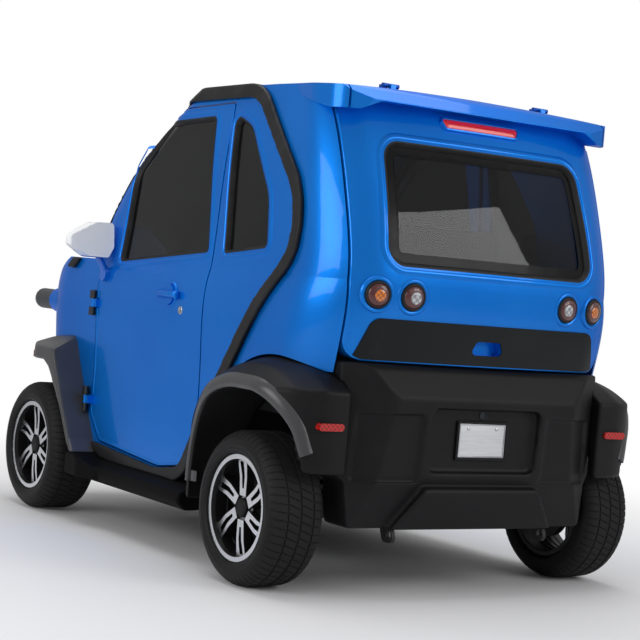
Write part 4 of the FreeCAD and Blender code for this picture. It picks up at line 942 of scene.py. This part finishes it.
    def apply(self, made: bpy.types.Object) -> None:
        """Applies every modifier of a piece."""
        bpy.context.view_layer.update()
        shown = made.evaluated_get(bpy.context.evaluated_depsgraph_get())
        mesh = bpy.data.meshes.new_from_object(shown)
        mesh.name = made.name
        made.modifiers.clear()
        old = made.data
        made.data = mesh
        bpy.data.meshes.remove(old)


@dataclass
class Studio:
    """Pale floor, soft lights and the camera at the photograph's angle."""

    place: tuple[float, float, float] = (-5.16619, 3.33842, 0.92894)
    azimuth: float = -33.50375
    elevation: float = -1.30723
    roll: float = 4.91555
    lens: float = 96.638
    sensor: float = 36.0
    sight: float = 200.0
    floor_size: float = 60.0
    shadow_centre: tuple[float, float] = (-0.9, 0.7)
    shadow_reach: tuple[float, float] = (1.3, 4.6)
    lamps: tuple = (
        ("top_light", (0.2, 0.0, 4.2), (0.0, 0.0, 0.6), (4.2, 3.2), 95.0),
        ("tail_light", (-4.6, -2.2, 2.6), (-0.8, 0.0, 0.7), (2.4, 2.2), 66.0),
        ("side_light", (-1.2, 4.8, 2.2), (0.1, 0.4, 0.7), (3.4, 1.8), 80.0),
    )

    def camera(self) -> None:
        """Camera of the photograph."""
        az, el, roll = (math.radians(a) for a in (self.azimuth, self.elevation, self.roll))
        forward = Vector((math.cos(el) * math.cos(az), math.cos(el) * math.sin(az), math.sin(el)))
        right = forward.cross(Vector((0, 0, 1))).normalized()
        up = right.cross(forward)
        level = Matrix((
            right * math.cos(roll) + up * math.sin(roll),
            up * math.cos(roll) - right * math.sin(roll),
            -forward,
        )).transposed()
        data = bpy.data.cameras.new("photo_camera")
        data.lens = self.lens
        data.sensor_width = self.sensor
        data.clip_end = self.sight
        camera = bpy.data.objects.new("photo_camera", data)
        camera.matrix_world = Matrix.Translation(self.place) @ level.to_4x4()
        bpy.context.scene.collection.objects.link(camera)
        bpy.context.scene.camera = camera

    def seen_white(self, graph: ShaderGraph) -> Signal:
        """One for rays that show the background, zero for light and reflections on the object."""
        kinds = ("Is Camera Ray", "Is Transmission Ray")
        rays = [graph.node("ShaderNodeLightPath", output=kind) for kind in kinds]
        return graph.node("ShaderNodeMath", {"operation": "MINIMUM"}, {0: rays[0] + rays[1], 1: 1.0})

    def floor(self) -> None:
        """Floor that keeps the shadow near the car and fades to white away from it."""
        half = self.floor_size / 2
        corners = [(-half, -half, 0), (half, -half, 0), (half, half, 0), (-half, half, 0)]
        mesh = bpy.data.meshes.new("studio_floor")
        mesh.from_pydata(corners, [], [(0, 1, 2, 3)])
        made = bpy.data.objects.new("studio_floor", mesh)
        bpy.context.scene.collection.objects.link(made)
        g = ShaderGraph("studio_floor")
        x, y = g.axis("X"), g.axis("Y")
        ahead, aside = x - self.shadow_centre[0], y - self.shadow_centre[1]
        reach = (ahead * ahead + aside * aside) ** 0.5
        grain = g.noise(30.0, 3.0)
        matt = g.node("ShaderNodeBsdfPrincipled", {}, {
            "Base Color": g.blend(grain * 0.1, srgb(234, 234, 236), srgb(228, 228, 230)),
            "Roughness": 0.62,
            "Specular IOR Level": 0.25,
        })
        white = g.node("ShaderNodeEmission", {}, {"Color": (1.0, 1.0, 1.0), "Strength": 1.0})
        mask = reach.step(*self.shadow_reach) * self.seen_white(g)
        g.node_output(g.node("ShaderNodeMixShader", {}, {0: mask, 1: matt, 2: white}))
        made.data.materials.append(g.material)

    def world(self) -> None:
        """White background with a gentle light of its own."""
        world = bpy.data.worlds.new("studio_world")
        bpy.context.scene.world = world
        g = ShaderGraph("studio_world", world)
        seen = self.seen_white(g)
        light = g.node("ShaderNodeBackground", {}, {"Color": (1.0, 1.0, 1.0), "Strength": seen * 0.55 + 0.45})
        out = g.tree.nodes.new("ShaderNodeOutputWorld")
        g.tree.links.new(light.socket, out.inputs["Surface"])

    def lamp(self, name: str, place: Sequence[float], aim: Sequence[float], size: tuple[float, float],
             power: float) -> None:
        """Soft rectangular lamp that looks at a point."""
        data = bpy.data.lights.new(name, "AREA")
        data.shape = "RECTANGLE"
        data.size, data.size_y = size
        data.energy = power
        lamp = bpy.data.objects.new(name, data)
        lamp.location = place
        lamp.rotation_mode = "QUATERNION"
        lamp.rotation_quaternion = (Vector(aim) - Vector(place)).to_track_quat("-Z", "Y")
        bpy.context.scene.collection.objects.link(lamp)

    def build(self) -> None:
        """Everything that isn't the car."""
        self.camera()
        self.floor()
        self.world()
        for row in self.lamps:
            self.lamp(*row)
        bpy.context.scene.view_settings.view_transform = "Standard"


@dataclass
class Shell:
    """Painted panels, glass, gaskets and seals of the body."""

    shop: Workshop
    nodes_by_finish: dict[str, str] = field(default_factory=lambda: {
        "painted_frame": "chassis_frame floor_pan rear_axle front_axle",
        "cast_alloy": "battery_box knuckle_left knuckle_right",
        "dark_steel": "dampers",
        "body_paint": (
            "roof_panel side_frames rear_quarters nose_panel tailgate door_left door_right "
            "door_handle_left door_handle_right"
        ),
        "screen_tint": "windscreen",
        "side_tint": "side_glass door_glass_left door_glass_right",
        "hinge_steel": "hinges",
        "black_rubber": "seal_bands",
        # The sills take a darker copy of the black trim: painted shade.
        "sill_trim": "sills",
        "black_trim": "rear_fenders rear_bumper front_bumper",
        # The front fenders take a lighter copy of the black trim: painted highlight.
        "satin_trim": "front_fenders",
        "lamp_body": "headlamps",
        "seat_cover": "seats",
        "cabin_trim": "dashboard steering_column steering_wheel",
        "blank_plate": "number_plate",
        "red_lens": "reflectors",
        "gate_tint": "tailgate_glass",
        "gate_trim": "tailgate_panel",
        "deep_red_lens": "tail_lamps",
        "mirror_shell": "mirror_left mirror_right",
    })

    def build(self) -> None:
        """Finishes on every node that stays."""
        for finish, nodes in self.nodes_by_finish.items():
            for node in nodes.split():
                self.shop.dress(node, finish)
        for end in End:
            for side in Side:
                self.shop.dress(f"tyre_{end.word}_{side.word}", "tyre_rubber")
                self.shop.dress(f"rim_{end.word}_{side.word}", "machined_alloy")


@dataclass
class Mouldings:
    """Black mouldings round the body with rounded edges: fenders, bumpers, sills and seal bands."""

    shop: Workshop
    table: tuple[tuple[str, str, float, int, str], ...] = (
        ("seal_bands", "rubber", 0.0042, 10, "black_rubber"),
        # Darker trim copy on the sills: painted shade.
        ("sills", "black_plastic", 0.006, 6, "sill_trim"),
        ("rear_fenders", "black_plastic", 0.006, 8, "black_trim"),
        # Lighter trim copy on the front fenders: painted highlight.
        ("front_fenders", "black_plastic", 0.005, 14, "satin_trim"),
        ("rear_bumper", "black_plastic", 0.005, 10, "black_trim"),
        ("front_bumper", "black_plastic", 0.007, 4, "black_trim"),
    )

    def build(self) -> None:
        """One softened piece for each node."""
        for node, slot, voxel, rounds, finish in self.table:
            made = self.shop.softened(node, node + "_moulded", voxel, rounds)
            self.shop.mount(made, "body", finish, slot, [node])


@dataclass
class Glazing:
    """Gaskets, borders and pressed creases round the windows and along the panels' edges."""

    shop: Workshop
    door_window: tuple = ((1112, 936, 18), (1082, 1266, 60), (908, 1430, 70), (572, 1440, 22), (498, 990, 14))
    quarter_window: tuple = ((392, 990, 12), (446, 1446, 26), (330, 1400, 110), (168, 1180, 160),
                             (140, 1016, 18))
    vent_window: tuple = ((1284, 952, 8), (1284, 1092, 8), (1362, 952, 8))
    gate_window: tuple = ((-0.400, 0.992, 0.060), (0.400, 0.992, 0.060), (0.378, 1.366, 0.060),
                          (-0.378, 1.366, 0.060))
    door_edge: tuple = ((1141, 296, 55), (1232, 388, 45), (1232, 1097, 56), (1008, 1362, 156),
                        (902, 1466, 86), (466, 1478, 10), (466, 412, 56), (534, 290, 76), (691, 267, 56))
    gate_edge: tuple = ((-0.500, 1.430, 0.0), (-0.500, 0.706, 0.062), (0.500, 0.706, 0.062),
                        (0.500, 1.430, 0.0))
    gasket: tuple = ((0.0005, 0.0012), (-0.004, 0.0006), (-0.013, -0.0125), (-0.013, -0.0145), (0.0, -0.030),
                     (0.0012, -0.030))
    crease: tuple = ((0.006, -0.001), (0.0075, 0.0016), (0.011, 0.0030), (0.016, 0.0030), (0.024, 0.0010),
                     (0.030, -0.001))
    hem: tuple = ((0.0, -0.006), (0.0010, 0.0008), (-0.0015, 0.0020), (-0.0060, 0.0018), (-0.0105, -0.0005))

    def windows(self) -> None:
        """Black gaskets in the side windows and their pressed surrounds."""
        for side in Side:
            for place, node, body, corners in (
                ("door", "door_left", "door_" + side.word, self.door_window),
                ("quarter", "side_frames", "body", self.quarter_window),
                ("vent", "side_frames", "body", self.vent_window),
            ):
                outline = from_rear(corners)
                seal = self.shop.strip(node, outline, Look.SIDE, self.gasket, 0.004, step=0.007)
                self.shop.make(f"{place}_gasket_{side.word}", seal.on(side), body, "black_rubber", "rubber")
                if place != "vent":
                    fold = self.shop.strip(node, outline, Look.SIDE, self.crease, 0.016, step=0.007)
                    self.shop.make(f"{place}_surround_{side.word}", fold.on(side), body, "body_paint",
                                   "body_blue")

    def gate(self) -> None:
        """Gasket, dark border and drawn edge of the tailgate's window."""
        seal = self.shop.strip("tailgate", self.gate_window, Look.TAIL, self.gasket, 0.004)
        self.shop.make("gate_gasket", seal, "tailgate", "black_rubber", "rubber")
        border = ((-0.010, -0.0132), (-0.010, -0.0136), (-0.040, -0.0137), (-0.040, -0.0131))
        band = self.shop.strip("tailgate", self.gate_window, Look.TAIL, border, 0.004)
        line = ((-0.0385, -0.0120), (-0.0385, -0.0134), (-0.0405, -0.0134), (-0.0405, -0.0120))
        band = band + self.shop.strip("tailgate", self.gate_window, Look.TAIL, line, 0.004)
        self.shop.make("gate_glass_border", band, "tailgate", "glass_border", "dark_glass")
        fold = self.shop.strip("tailgate", self.gate_window, Look.TAIL, self.crease, 0.016)
        self.shop.make("gate_surround", fold, "tailgate", "body_paint", "body_blue")

    def hems(self) -> None:
        """Rolled edges of the doors and the tailgate, which catch the light along the shut lines."""
        for side in Side:
            roll = self.shop.strip("door_left", from_rear(self.door_edge), Look.SIDE, self.hem, -0.004)
            self.shop.make(f"door_hem_{side.word}", roll.on(side), "door_" + side.word, "body_paint",
                           "body_blue")
        roll = self.shop.strip("tailgate", self.gate_edge, Look.TAIL, self.hem, -0.004, False)
        self.shop.make("gate_hem", roll, "tailgate", "body_paint", "body_blue")

    def build(self) -> None:
        """All of it."""
        self.windows()
        self.gate()
        self.hems()


@dataclass
class Lamps:
    """Round tail lamps in recessed collars, the stop lamp, headlamp lenses and reflectors."""

    shop: Workshop
    inner_y: float = 0.303
    outer_y: float = 0.423
    tail_z: float = 0.903
    radius: float = 0.036
    collar: tuple = ((-0.006, 0.021), (0.0012, 0.0185), (0.0032, 0.0150), (0.0036, 0.0115), (0.0020, 0.0080),
                     (0.0005, 0.0055), (-0.006, 0.0052))
    bed: tuple = ((-0.004, 0.006), (0.0015, 0.0055), (0.0060, 0.0040), (0.0075, 0.0010), (0.0065, -0.0020),
                  (-0.004, -0.0040))
    stop_outline: tuple = ((-0.137, 1.427, 0.006), (0.137, 1.427, 0.006), (0.151, 1.453, 0.006),
                           (-0.151, 1.453, 0.006))
    stop_glass: tuple = ((0.0, -0.003), (0.0, 0.0070), (-0.0025, 0.0092), (-0.0135, 0.0100), (-0.0135, -0.003))
    stop_frame: tuple = ((0.0002, -0.003), (0.0002, 0.0085), (0.0020, 0.0100), (0.0060, 0.0085),
                         (0.0100, -0.002))
    pod_tip: tuple[float, float, float] = (FRONT_AXLE_X + 0.398, 0.502, 0.768)
    pod_ring: tuple = ((-0.014, 0.0392), (-0.004, 0.0385), (0.0015, 0.0345), (0.0012, 0.0305),
                       (-0.006, 0.0290))
    pod_lens: tuple = ((-0.006, 0.0300), (-0.001, 0.0290), (0.0020, 0.020), (0.0036, 0.0100), (0.0040, 0.0))

    def around(self, section: Sequence[tuple[float, float]]) -> list[tuple[float, float]]:
        """A section whose radii count from the tail lamp's own."""
        return [(along, self.radius + more) for along, more in section]

    def seat(self, y: float) -> tuple[Vector, Vector]:
        """Point and outward normal of the tailgate where a lamp sits."""
        tree = self.shop.surface_of("tailgate")
        hit, normal, _, _ = tree.ray_cast(Vector((-3.0, y, self.tail_z)), Vector((1, 0, 0)))
        if normal.x > 0:
            normal = -normal
        return hit, normal

    def tail(self) -> None:
        """Four tail lamps: painted collar, black seat, dark red glass and a coloured reflector."""
        r = self.radius
        collars, seats, glasses = Blank(), Blank(), Blank()
        amber, silver = Blank(), Blank()
        for side in (1, -1):
            for y in (self.inner_y, self.outer_y):
                place, out = self.seat(side * y)
                collars += lathed(self.around(self.collar), place, out, 64)
                seats += lathed(self.around(self.bed), place, out, 64)
                glasses += lathed([(-0.003, r - 0.001), (0.0055, r - 0.0015), (0.0098, r - 0.0055),
                                   (0.0122, r * 0.62), (0.0132, r * 0.30), (0.0134, 0.0)], place, out, 64)
                bulb = lathed([(0.0125, r * 0.52), (0.0142, r * 0.47), (0.0152, r * 0.30), (0.0156, 0.0)],
                              place + Vector((0.0, -0.004 * side, -0.001)), out, 40)
                if y == self.outer_y:
                    amber += bulb
                else:
                    silver += bulb
        self.shop.make("tail_lamp_collars", collars, "tailgate", "body_paint", "body_blue", smooth=60.0)
        self.shop.make("tail_lamp_seats", seats, "tailgate", "black_rubber", "rubber", smooth=60.0)
        self.shop.make("tail_lamp_glasses", glasses, "tailgate", "deep_red_lens", "red_lens", ["tail_lamps"],
                       60.0)
        self.shop.make("turn_reflectors", amber, "tailgate", "amber_lens", "red_lens", smooth=60.0)
        self.shop.make("reverse_reflectors", silver, "tailgate", "silver_lens", "red_lens", smooth=60.0)

    def stop(self) -> None:
        """High stop lamp in its painted frame."""
        for name, section, finish, slot in (("stop_lamp", self.stop_glass, "stop_lens", "red_lens"),
                                            ("stop_lamp_frame", self.stop_frame, "body_paint", "body_blue")):
            made = self.shop.strip("tailgate", self.stop_outline, Look.TAIL, section, 0.004, step=0.004)
            self.shop.make(name, made, "tailgate", finish, slot)

    def heads(self) -> None:
        """Headlamp lens and chrome ring on each pod."""
        x, y, z = self.pod_tip
        for side in Side:
            tip = Vector((x, y * side.value, z))
            ring = lathed(self.pod_ring, tip, (1, 0, 0), 64)
            self.shop.make(f"headlamp_ring_{side.word}", ring, "body", "satin_chrome", "black_plastic")
            lens = lathed(self.pod_lens, tip, (1, 0, 0), 64)
            self.shop.make(f"headlamp_lens_{side.word}", lens, "body", "clear_lens", "red_lens")

    def build(self) -> None:
        """All lamps."""
        self.tail()
        self.stop()
        self.heads()


@dataclass
class Repeater:
    """Geometry Nodes that repeat a piece round the Y axis."""

    shop: Workshop

    def group(self, material: bpy.types.Material) -> bpy.types.NodeTree:
        """The node tree, with the number of repeats as its input."""
        tree = bpy.data.node_groups.new("repeat_round_axle", "GeometryNodeTree")
        tree.interface.new_socket(name="Piece", in_out="INPUT", socket_type="NodeSocketGeometry")
        tree.interface.new_socket(name="Count", in_out="INPUT", socket_type="NodeSocketInt")
        tree.interface.new_socket(name="Geometry", in_out="OUTPUT", socket_type="NodeSocketGeometry")
        nodes = tree.nodes
        start, end = nodes.new("NodeGroupInput"), nodes.new("NodeGroupOutput")
        points = nodes.new("GeometryNodePoints")
        index = nodes.new("GeometryNodeInputIndex")
        share = nodes.new("ShaderNodeMath")
        share.operation = "DIVIDE"
        turn = nodes.new("ShaderNodeMath")
        turn.operation = "MULTIPLY"
        turn.inputs[1].default_value = 2 * math.pi
        spin = nodes.new("ShaderNodeCombineXYZ")
        rotation = nodes.new("FunctionNodeEulerToRotation")
        copies = nodes.new("GeometryNodeInstanceOnPoints")
        real = nodes.new("GeometryNodeRealizeInstances")
        dress = nodes.new("GeometryNodeSetMaterial")
        dress.inputs["Material"].default_value = material
        for source, sink in (
            (start.outputs["Count"], points.inputs["Count"]),
            (index.outputs[0], share.inputs[0]),
            (start.outputs["Count"], share.inputs[1]),
            (share.outputs[0], turn.inputs[0]),
            (turn.outputs[0], spin.inputs["Y"]),
            (spin.outputs[0], rotation.inputs[0]),
            (points.outputs[0], copies.inputs["Points"]),
            (start.outputs["Piece"], copies.inputs["Instance"]),
            (rotation.outputs[0], copies.inputs["Rotation"]),
            (copies.outputs[0], real.inputs[0]),
            (real.outputs[0], dress.inputs["Geometry"]),
            (dress.outputs[0], end.inputs[0]),
        ):
            tree.links.new(source, sink)
        return tree

    def round(self, name: str, blank: Blank, count: int, centre: Sequence[float],
              finish: str) -> bpy.types.Object:
        """A plain mesh of a piece repeated round an axle.

        Args:
            name: The mesh's name.
            blank: One repeat, drawn about the origin.
            count: Number of repeats.
            centre: Place of the axle's middle.
            finish: The finish.

        Returns:
            The object.
        """
        made = self.shop.piece(name, blank.points, blank.faces, 35.0)
        tree = self.group(self.shop.finishes[finish])
        modifier = made.modifiers.new("Repeat", "NODES")
        modifier.node_group = tree
        for item in tree.interface.items_tree:
            if item.name == "Count":
                modifier[item.identifier] = count
        self.shop.apply(made)
        made.data.transform(Matrix.Translation(Vector(centre)))
        self.shop.shade(made, 35.0)
        return made


@dataclass
class Wheels:
    """Tyres with fine grooved treads and smooth walls, and what sits on the alloy rims."""

    shop: Workshop
    half: float = 0.095
    crown: float = TYRE_RADIUS
    shoulder: float = 0.046
    lip: float = 0.1633
    pitches: int = 60
    groove: float = 0.003

    def height(self, y: float) -> float:
        """Radius of the tread's envelope at an offset across the tyre."""
        over = abs(y) - (self.half - self.shoulder)
        if over <= 0:
            return self.crown
        return self.crown - self.shoulder + math.sqrt(max(self.shoulder ** 2 - over ** 2, 0.0))

    def carcass(self) -> Blank:
        """Tyre without its tread blocks, turned about the origin."""
        wall = [(0.0715, 0.1545), (0.0715, self.lip), (0.0840, self.lip), (0.0885, 0.1650), (0.0925, 0.1695),
                (0.0944, 0.1745), (0.0949, 0.1775), (0.0941, 0.1790), (0.0941, 0.1805), (0.0950, 0.1820),
                (0.0950, 0.1900), (0.0944, 0.1975), (0.0936, 0.1990), (0.0936, 0.2005), (0.0926, 0.2035)]
        tread = []
        for k in range(25):
            y = 0.0905 - 0.181 * k / 24
            tread.append((y, self.height(y) - self.groove * min(1.0, (0.0905 - abs(y)) / 0.012 + 0.25)))
        profile = wall + tread + [(-y, r) for y, r in wall[::-1]]
        rows = []
        for k in range(96):
            angle = 2 * math.pi * k / 96
            rows.append([Vector((r * math.cos(angle), y, r * math.sin(angle))) for y, r in profile])
        return grid(rows, True, True)

    def block(self, y0: float, y1: float, slant: float, length: float, shift: float) -> Blank:
        """One tread block between two offsets, with its rows along the tread."""
        rows = []
        for i in range(6):
            y = y0 + (y1 - y0) * i / 5
            top = self.height(y)
            low = top - self.groove - 0.0025
            row = []
            for share, radius in ((-0.5, low), (-0.47, top - 0.0012), (-0.42, top), (0.0, top), (0.42, top),
                                  (0.47, top - 0.0012), (0.5, low)):
                angle = (share * length + slant * y + shift) / self.crown
                row.append(Vector((radius * math.sin(angle), y, radius * math.cos(angle))))
            rows.append(row)
        return grid(rows, False, True, True)

    def pitch(self) -> Blank:
        """All blocks of one pitch of the tread."""
        length = 2 * math.pi * self.crown / self.pitches
        return (
            self.block(-0.0905, -0.0470, 0.16, length * 0.92, 0.0)
            + self.block(-0.0410, -0.0040, 0.42, length * 0.93, length * 0.35)
            + self.block(0.0040, 0.0410, 0.42, length * 0.93, length * 0.65)
            + self.block(0.0470, 0.0905, 0.16, length * 0.92, 0.0)
        )

    def build(self) -> None:
        """Tyres, centre caps and bolts on all four wheels."""
        repeater = Repeater(self.shop)
        for end in End:
            for side in Side:
                word = f"{end.word}_{side.word}"
                body = "wheel_" + word
                centre = Vector((end.value, WHEEL_Y * side.value, TYRE_RADIUS))
                carcass = self.carcass().moved(centre)
                self.shop.make("tyre_carcass_" + word, carcass, body, "tyre_rubber", "tyre", ["tyre_" + word])
                tread = repeater.round("tyre_tread_" + word, self.pitch(), self.pitches, centre,
                                       "tyre_rubber")
                self.shop.mount(tread, body, "tyre_rubber", "tyre")
                face = WHEEL_Y + 0.060
                hub = Vector((end.value, face * side.value, TYRE_RADIUS))
                out = Vector((0, side.value, 0))
                cap = lathed([(-0.004, 0.0290), (0.0030, 0.0290), (0.0062, 0.0262), (0.0082, 0.0200),
                              (0.0088, 0.0120), (0.0084, 0.0)], hub, out, 56)
                self.shop.make("hub_cap_" + word, cap, body, "black_trim", "rim", smooth=50.0)
                bolt = lathed([(-0.010, 0.0056), (0.0008, 0.0056), (0.0018, 0.0046), (0.0018, 0.0034),
                               (-0.003, 0.0030), (-0.003, 0.0)], (0.0, 0.048 * side.value, 0.0365), out, 18)
                bolts = repeater.round("wheel_bolts_" + word, bolt, 4, centre, "dark_steel")
                self.shop.mount(bolts, body, "dark_steel", "rim")
                ridges = Blank()
                for y in (-0.052, -0.026, 0.0, 0.026):
                    ridges += lathed([(y - 0.004, 0.1445), (y - 0.002, 0.1405), (y + 0.002, 0.1405),
                                      (y + 0.004, 0.1445)], centre, (0, 1, 0), 72)
                self.shop.make("barrel_ridges_" + word, ridges, body, "dark_steel", "rim")


@dataclass
class Seats:
    """Stuffed cushions and backs with sewn channels."""

    shop: Workshop
    cap: float = 0.010
    voxel: float = 0.011
    rounds: int = 8
    pressure: float = 4.0
    last_frame: int = 20
    channel: float = 0.085
    channel_width: float = 0.008
    piping: float = 0.187
    piping_width: float = 0.007
    channel_end: float = 0.185
    channel_fade: float = 0.03
    sewn_depth: float = 0.006
    joint_height: float = 0.6

    def stuffed(self, name: str, keep: Callable[[Vector], bool]) -> bpy.types.Object:
        """Cushion from the CAD's solid, filled out by a cloth simulation.

        Args:
            name: The piece's name.
            keep: Chooses the solid by the middle of its box.

        Returns:
            The cushion.
        """
        made = self.shop.softened("seats", name, self.voxel, self.rounds, keep)
        rest = np.array([v.co for v in made.data.vertices])
        cloth = made.modifiers.new("Cloth", "CLOTH")
        cloth.settings.quality = 4
        cloth.settings.use_pressure = True
        cloth.settings.uniform_pressure_force = self.pressure
        cloth.settings.effector_weights.gravity = 0.0
        scene = bpy.context.scene
        for step in range(1, self.last_frame + 1):
            scene.frame_set(step)
        self.shop.apply(made)
        scene.frame_set(1)
        now = np.array([v.co for v in made.data.vertices])
        move = now - rest
        size = np.linalg.norm(move, axis=1, keepdims=True)
        move *= np.minimum(1.0, self.cap / np.maximum(size, 1e-9))
        normals = np.array([v.normal for v in made.data.vertices])
        along = rest[:, 2] if "back" in name else rest[:, 0]
        seam = np.abs((along / self.channel) % 1.0 - 0.5) * self.channel
        aside = np.abs(rest[:, 1] - (rest[:, 1].max() + rest[:, 1].min()) / 2)
        inside = np.clip((self.channel_end - aside) / self.channel_fade, 0, 1)
        edge = np.exp(-((aside - self.piping) / self.piping_width) ** 2)
        depth = self.sewn_depth * np.maximum(np.exp(-(seam / self.channel_width) ** 2) * inside, edge)
        made.data.vertices.foreach_set("co", (rest + move - normals * depth[:, None]).ravel())
        made.data.update()
        self.shop.shade(made, 180.0)
        return made

    def build(self) -> None:
        """Two cushions and two backs, the right pair mirrored from the left."""
        for part, keep in (
            ("cushion", lambda middle: middle.y > 0 and middle.z < self.joint_height),
            ("back", lambda middle: middle.y > 0 and middle.z > self.joint_height),
        ):
            left = self.stuffed(f"seat_{part}_left", keep)
            right = Blank([v.co.copy() for v in left.data.vertices],
                          [tuple(f.vertices) for f in left.data.polygons]).mirrored()
            self.shop.mount(left, "body", "seat_cover", "seat_cover", ["seats"])
            twin = self.shop.make(f"seat_{part}_right", right, "body", "seat_cover", "seat_cover",
                                  smooth=180.0)


@dataclass
class Trims:
    """Flares on the arches, plate with its screws, lock, grille slats and door furniture."""

    shop: Workshop
    rear_arch: tuple = ((-226, 420, 0), (-192, 592, 150), (345, 592, 330), (345, 300, 0))
    flare: tuple = ((0.0, -0.004), (0.0, 0.0035), (0.004, 0.0075), (0.012, 0.0090), (0.024, 0.0075),
                    (0.036, 0.003), (0.044, -0.004))
    grip: tuple = ((-0.066, 0.0), (-0.065, 0.0060), (-0.060, 0.0105), (-0.052, 0.0125), (0.052, 0.0125),
                   (0.060, 0.0105), (0.065, 0.0060), (0.066, 0.0))

    def flares(self) -> None:
        """Raised rounded ridge along each rear wheel opening."""
        for side in Side:
            arch = from_rear(self.rear_arch)
            ridge = self.shop.strip("rear_fenders", arch, Look.SIDE, self.flare, 0.020, False)
            # The ridge wears the lighter trim copy, a painted highlight along the arch.
            self.shop.make(f"arch_flare_{side.word}", ridge.on(side), "body", "satin_trim", "black_plastic")

    def plate(self) -> None:
        """Bare number plate with a pressed rim, two screws and its black holder, and the lock above it."""
        x = REAR_AXLE_X - 0.312 + 0.036 - 0.0033
        z = 0.482
        low, high = (x - 0.0002, -0.090, z - 0.0515), (x + 0.0030, 0.090, z + 0.0515)
        sheet = plank(low, high, 0.0008)
        self.shop.make("plate_sheet", sheet, "body", "blank_plate", "plate", ["number_plate"])
        rim = bezel((x - 0.0022, x + 0.0005), z, (0.090, -0.0515, 0.0515), (0.086, 0.0475), 0.0007)
        self.shop.make("plate_rim", rim, "body", "satin_chrome", "plate")
        holder = bezel((x - 0.0045, x + 0.0032), z, (0.100, -0.0605, 0.0590), (0.0905, 0.0520), 0.0015)
        self.shop.make("plate_holder", holder, "body", "black_trim", "black_plastic")
        screws = Blank()
        for y in (-0.055, 0.055):
            screws += lathed([(-0.001, 0.0052), (0.0012, 0.0050), (0.0022, 0.0034), (0.0024, 0.0)],
                             (x - 0.0006, y, z + 0.036), (-1, 0, 0), 24)
        self.shop.make("plate_screws", screws, "body", "satin_chrome", "plate")
        lock = lathed([(-0.001, 0.016), (0.0035, 0.0155), (0.0050, 0.0135), (0.0050, 0.0100),
                       (0.0030, 0.0092), (0.0030, 0.0)], (REAR_AXLE_X - 0.2745, 0.0, 0.560), (-1, 0, 0), 40)
        self.shop.make("tail_lock", lock, "body", "dark_steel", "black_plastic")

    def grille(self) -> None:
        """Slats in the front bumper's opening."""
        x = FRONT_AXLE_X + 0.372
        slats = Blank()
        for i in range(5):
            z, half = 0.282 + 0.022 * i, 0.272 - 0.006 * i
            slats += plank((x - 0.016, -half, z - 0.004), (x, half, z + 0.004), 0.0025)
        self.shop.make("grille_slats", slats, "body", "black_trim", "black_plastic")

    def furniture(self) -> None:
        """Lock barrel below each door handle and the finger cup's ring."""
        tree = self.shop.surface_of("door_left")
        for side in Side:
            for name, x, z, radius, finish in (("door_lock", 0.612, 0.792, 0.011, "satin_chrome"),
                                               ("handle_cup", 0.690, 0.841, 0.040, "body_paint")):
                hit, normal, _, _ = tree.ray_cast(Vector((REAR_AXLE_X + x, 2.0, z)), Vector((0, -1, 0)))
                section = [(-0.003, radius + 0.004), (0.0015, radius + 0.003), (0.0030, radius),
                           (0.0022, radius - 0.003), (0.0004, radius - 0.005), (0.0, 0.0)]
                ring = lathed(section, hit, normal, 48)
                self.shop.make(f"{name}_{side.word}", ring.on(side), "door_" + side.word, finish,
                               "body_blue", smooth=60.0)
                if name == "handle_cup":
                    grip = lathed(self.grip, hit + normal * 0.013, (1, 0, 0), 32)
                    self.shop.make(f"handle_grip_{side.word}", grip.on(side), "door_" + side.word,
                                   "body_paint", "body_blue", smooth=60.0)

    def build(self) -> None:
        """All of it."""
        self.flares()
        self.plate()
        self.grille()
        self.furniture()


def main() -> None:
    """Builds the stage and every sub-assembly."""
    studio = Studio()
    studio.build()
    shop = Workshop(Finishes())
    for part in (Shell, Mouldings, Glazing, Lamps, Wheels, Seats, Trims):
        part(shop).build()


if __name__ == "__main__":
    main()
